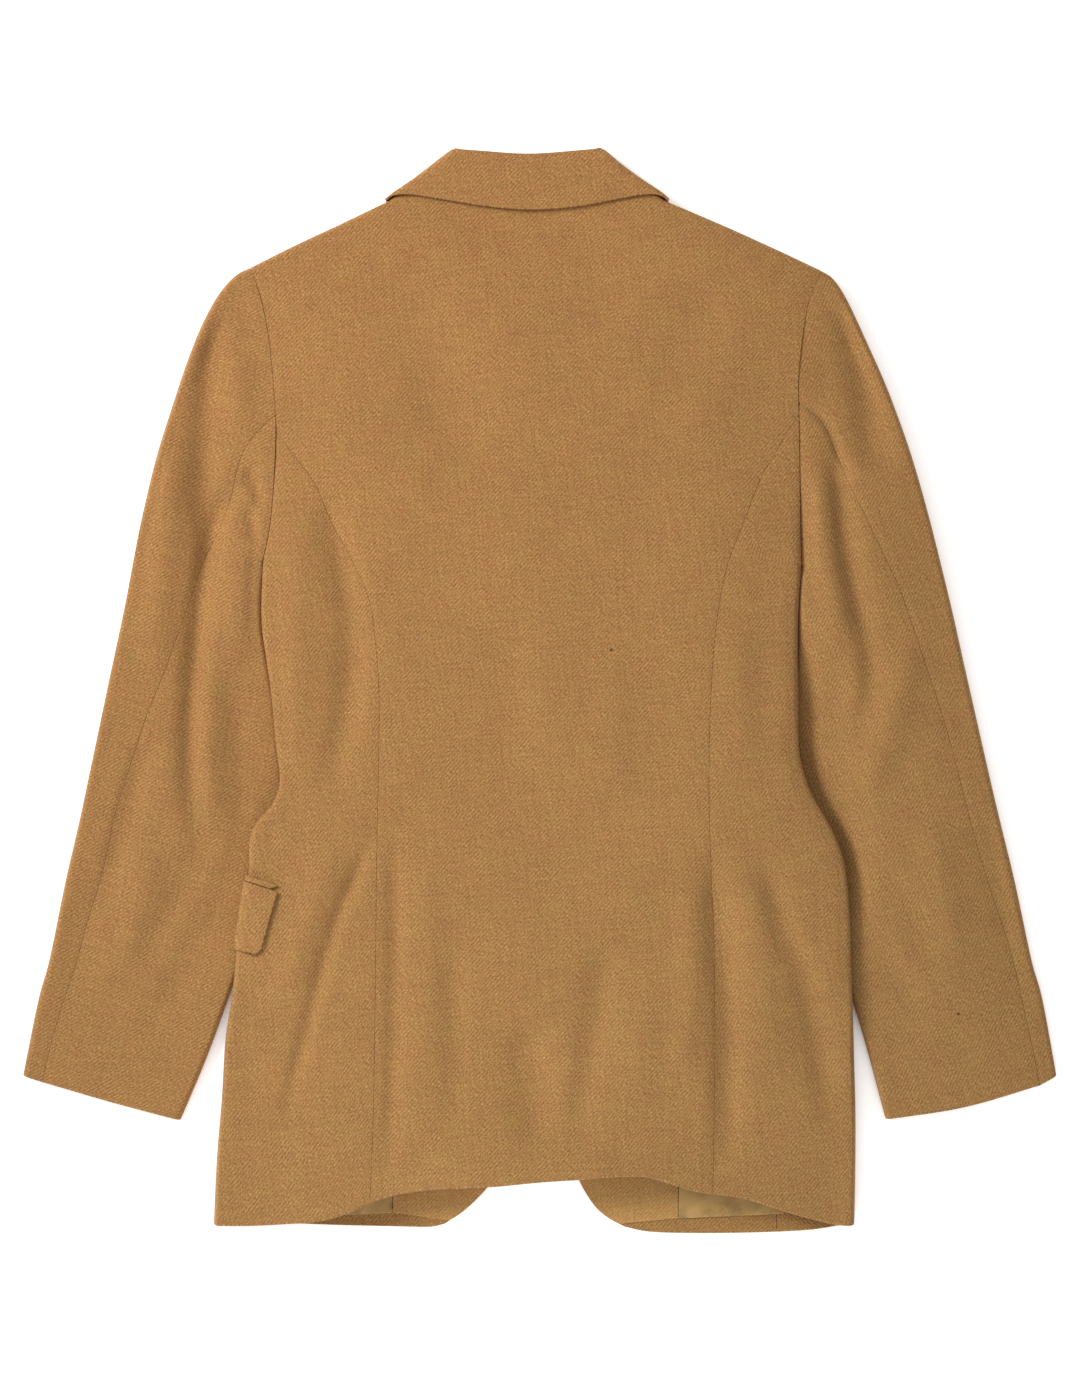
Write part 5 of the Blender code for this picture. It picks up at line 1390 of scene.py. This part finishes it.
shared = button_mesh()
for number, (x, y) in enumerate(BUTTON_PLACES):
    button = placed(f"horn_button_{number + 1}", shared)
    button.location = (x * MM, y * MM, BUTTON_REST * MM)
    thread = add_mesh(f"button_thread_{number + 1}", *thread_shapes(), "thread")
    thread.location = button.location
    hole = add_mesh(f"buttonhole_{number + 1}", *buttonhole_shapes(), "thread")
    hole.location = ((x - HOLE_SHIFT) * MM, y * MM, (LOW_BASE - HOLE_SINK) * MM)
    for thing in (button, thread, hole):
        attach(thing, "root")
    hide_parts(f"button_{number + 1}")
print("buttons", len(BUTTON_PLACES), "faces in one", len(shared.polygons))

# %% [markdown]
# ## Attaching the cloth
# Every piece rides with the jacket, stands for one solid and takes one finish of the pattern.


for name, piece in PIECES.items():
    cloth = piece["object"]
    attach(cloth, "root")
    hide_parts(name)

# %% [markdown]
# ## Studio
# The jacket lies on a pale table in a white room, with one large soft light from the upper left and
# a wider one from below the hem, as a shop photographs clothes. The table glows a little wherever no
# cloth shades it, so that it stays white and keeps the soft shadows. The camera looks straight down
# with a long lens, so the outline keeps its true shape.

# %% Table, light and camera
TABLE_HALF, TABLE_GAP = 9.0, 0.05 * MM
TABLE_GLOW, SHADOW_REACH = 0.6, 0.04
LAMPS = dict(key=((-2.5, 1.4, 2.0), (0, 0, 0), 1.1, 90.0),
             fill=((-0.6, -3.8, 1.5), (0, -0.3, 0), 1.6, 58.0))
ROOM_LIGHT = 0.45
LENS, SENSOR = 100.0, 36.0
PHOTO_HEIGHT, PIXEL, FOCUS_LEVEL, VIEW_SHIFT = 1378, 0.74, 8.0, 1.0


def add_table():
    """A wide pale table just under the cloth, glowing as painted light except close to the cloth, where
    the missing glow is painted shadow.
    """
    mesh = bpy.data.meshes.new("table")
    corners = [(x * TABLE_HALF, y * TABLE_HALF, 0) for x, y in ((-1, -1), (1, -1), (1, 1), (-1, 1))]
    mesh.from_pydata(corners, [], [(0, 1, 2, 3)])
    mesh.update()
    table = placed("table", mesh)
    table.location.z = -TABLE_GAP
    material, tree, shader = new_finish("white_table", 0.9, Specular_IOR_Level=0.1,
                                        Emission_Color=(1.0, 1.0, 1.0, 1.0))
    place = node(tree, "ShaderNodeTexCoord").outputs["Object"]
    faint = node(tree, "ShaderNodeTexNoise", {"Vector": place, "Scale": 3.0, "Detail": 2.0})
    two_shades(tree, shader, faint.outputs["Fac"], (0.0, 1.0), ("#FCFCFC", "#FEFEFE"))
    # painted light: the table's emission keeps it white in the lamps' shadows, and fades out near the
    # cloth as a painted contact shadow
    open_sky = node(tree, "ShaderNodeAmbientOcclusion", {"Distance": SHADOW_REACH}, samples=8)
    limits = dict(zip(RANGE_SOCKETS, (0.15, 0.7, 0.0, TABLE_GLOW)))
    glow = node(tree, "ShaderNodeMapRange", {"Value": open_sky.outputs["AO"], **limits})
    tree.links.new(glow.outputs[0], shader.inputs["Emission Strength"])
    mesh.materials.append(material)
    return table


def add_area(name, place, aim, size, power):
    """A square soft light at a place, turned to its aim."""
    light = bpy.data.lights.new(name, "AREA")
    light.shape = "SQUARE"
    light.size = size
    light.energy = power
    lamp = placed(name, light)
    lamp.location = place
    way = mathutils.Vector(aim) - mathutils.Vector(place)
    lamp.rotation_euler = way.to_track_quat("-Z", "Y").to_euler()


add_table()
for name, lamp in LAMPS.items():
    add_area(name, *lamp)

scene = bpy.context.scene
world = bpy.data.worlds.new("white_room")
world.use_nodes = True
scene.world = world
backdrop = world.node_tree.nodes["Background"]
backdrop.inputs["Color"].default_value = (1.0, 1.0, 1.0, 1.0)
backdrop.inputs["Strength"].default_value = ROOM_LIGHT
scene.view_settings.view_transform = "Standard"

lens = bpy.data.cameras.new("camera")
lens.lens, lens.sensor_width = LENS, SENSOR
camera = placed("camera", lens)
distance = PHOTO_HEIGHT * PIXEL * LENS / SENSOR
camera.location = (0.0, VIEW_SHIFT * MM, (FOCUS_LEVEL + distance) * MM)
scene.camera = camera
print("camera above the table, m:", round(camera.location.z, 3))

# %% Update the scene
bpy.context.view_layer.update()
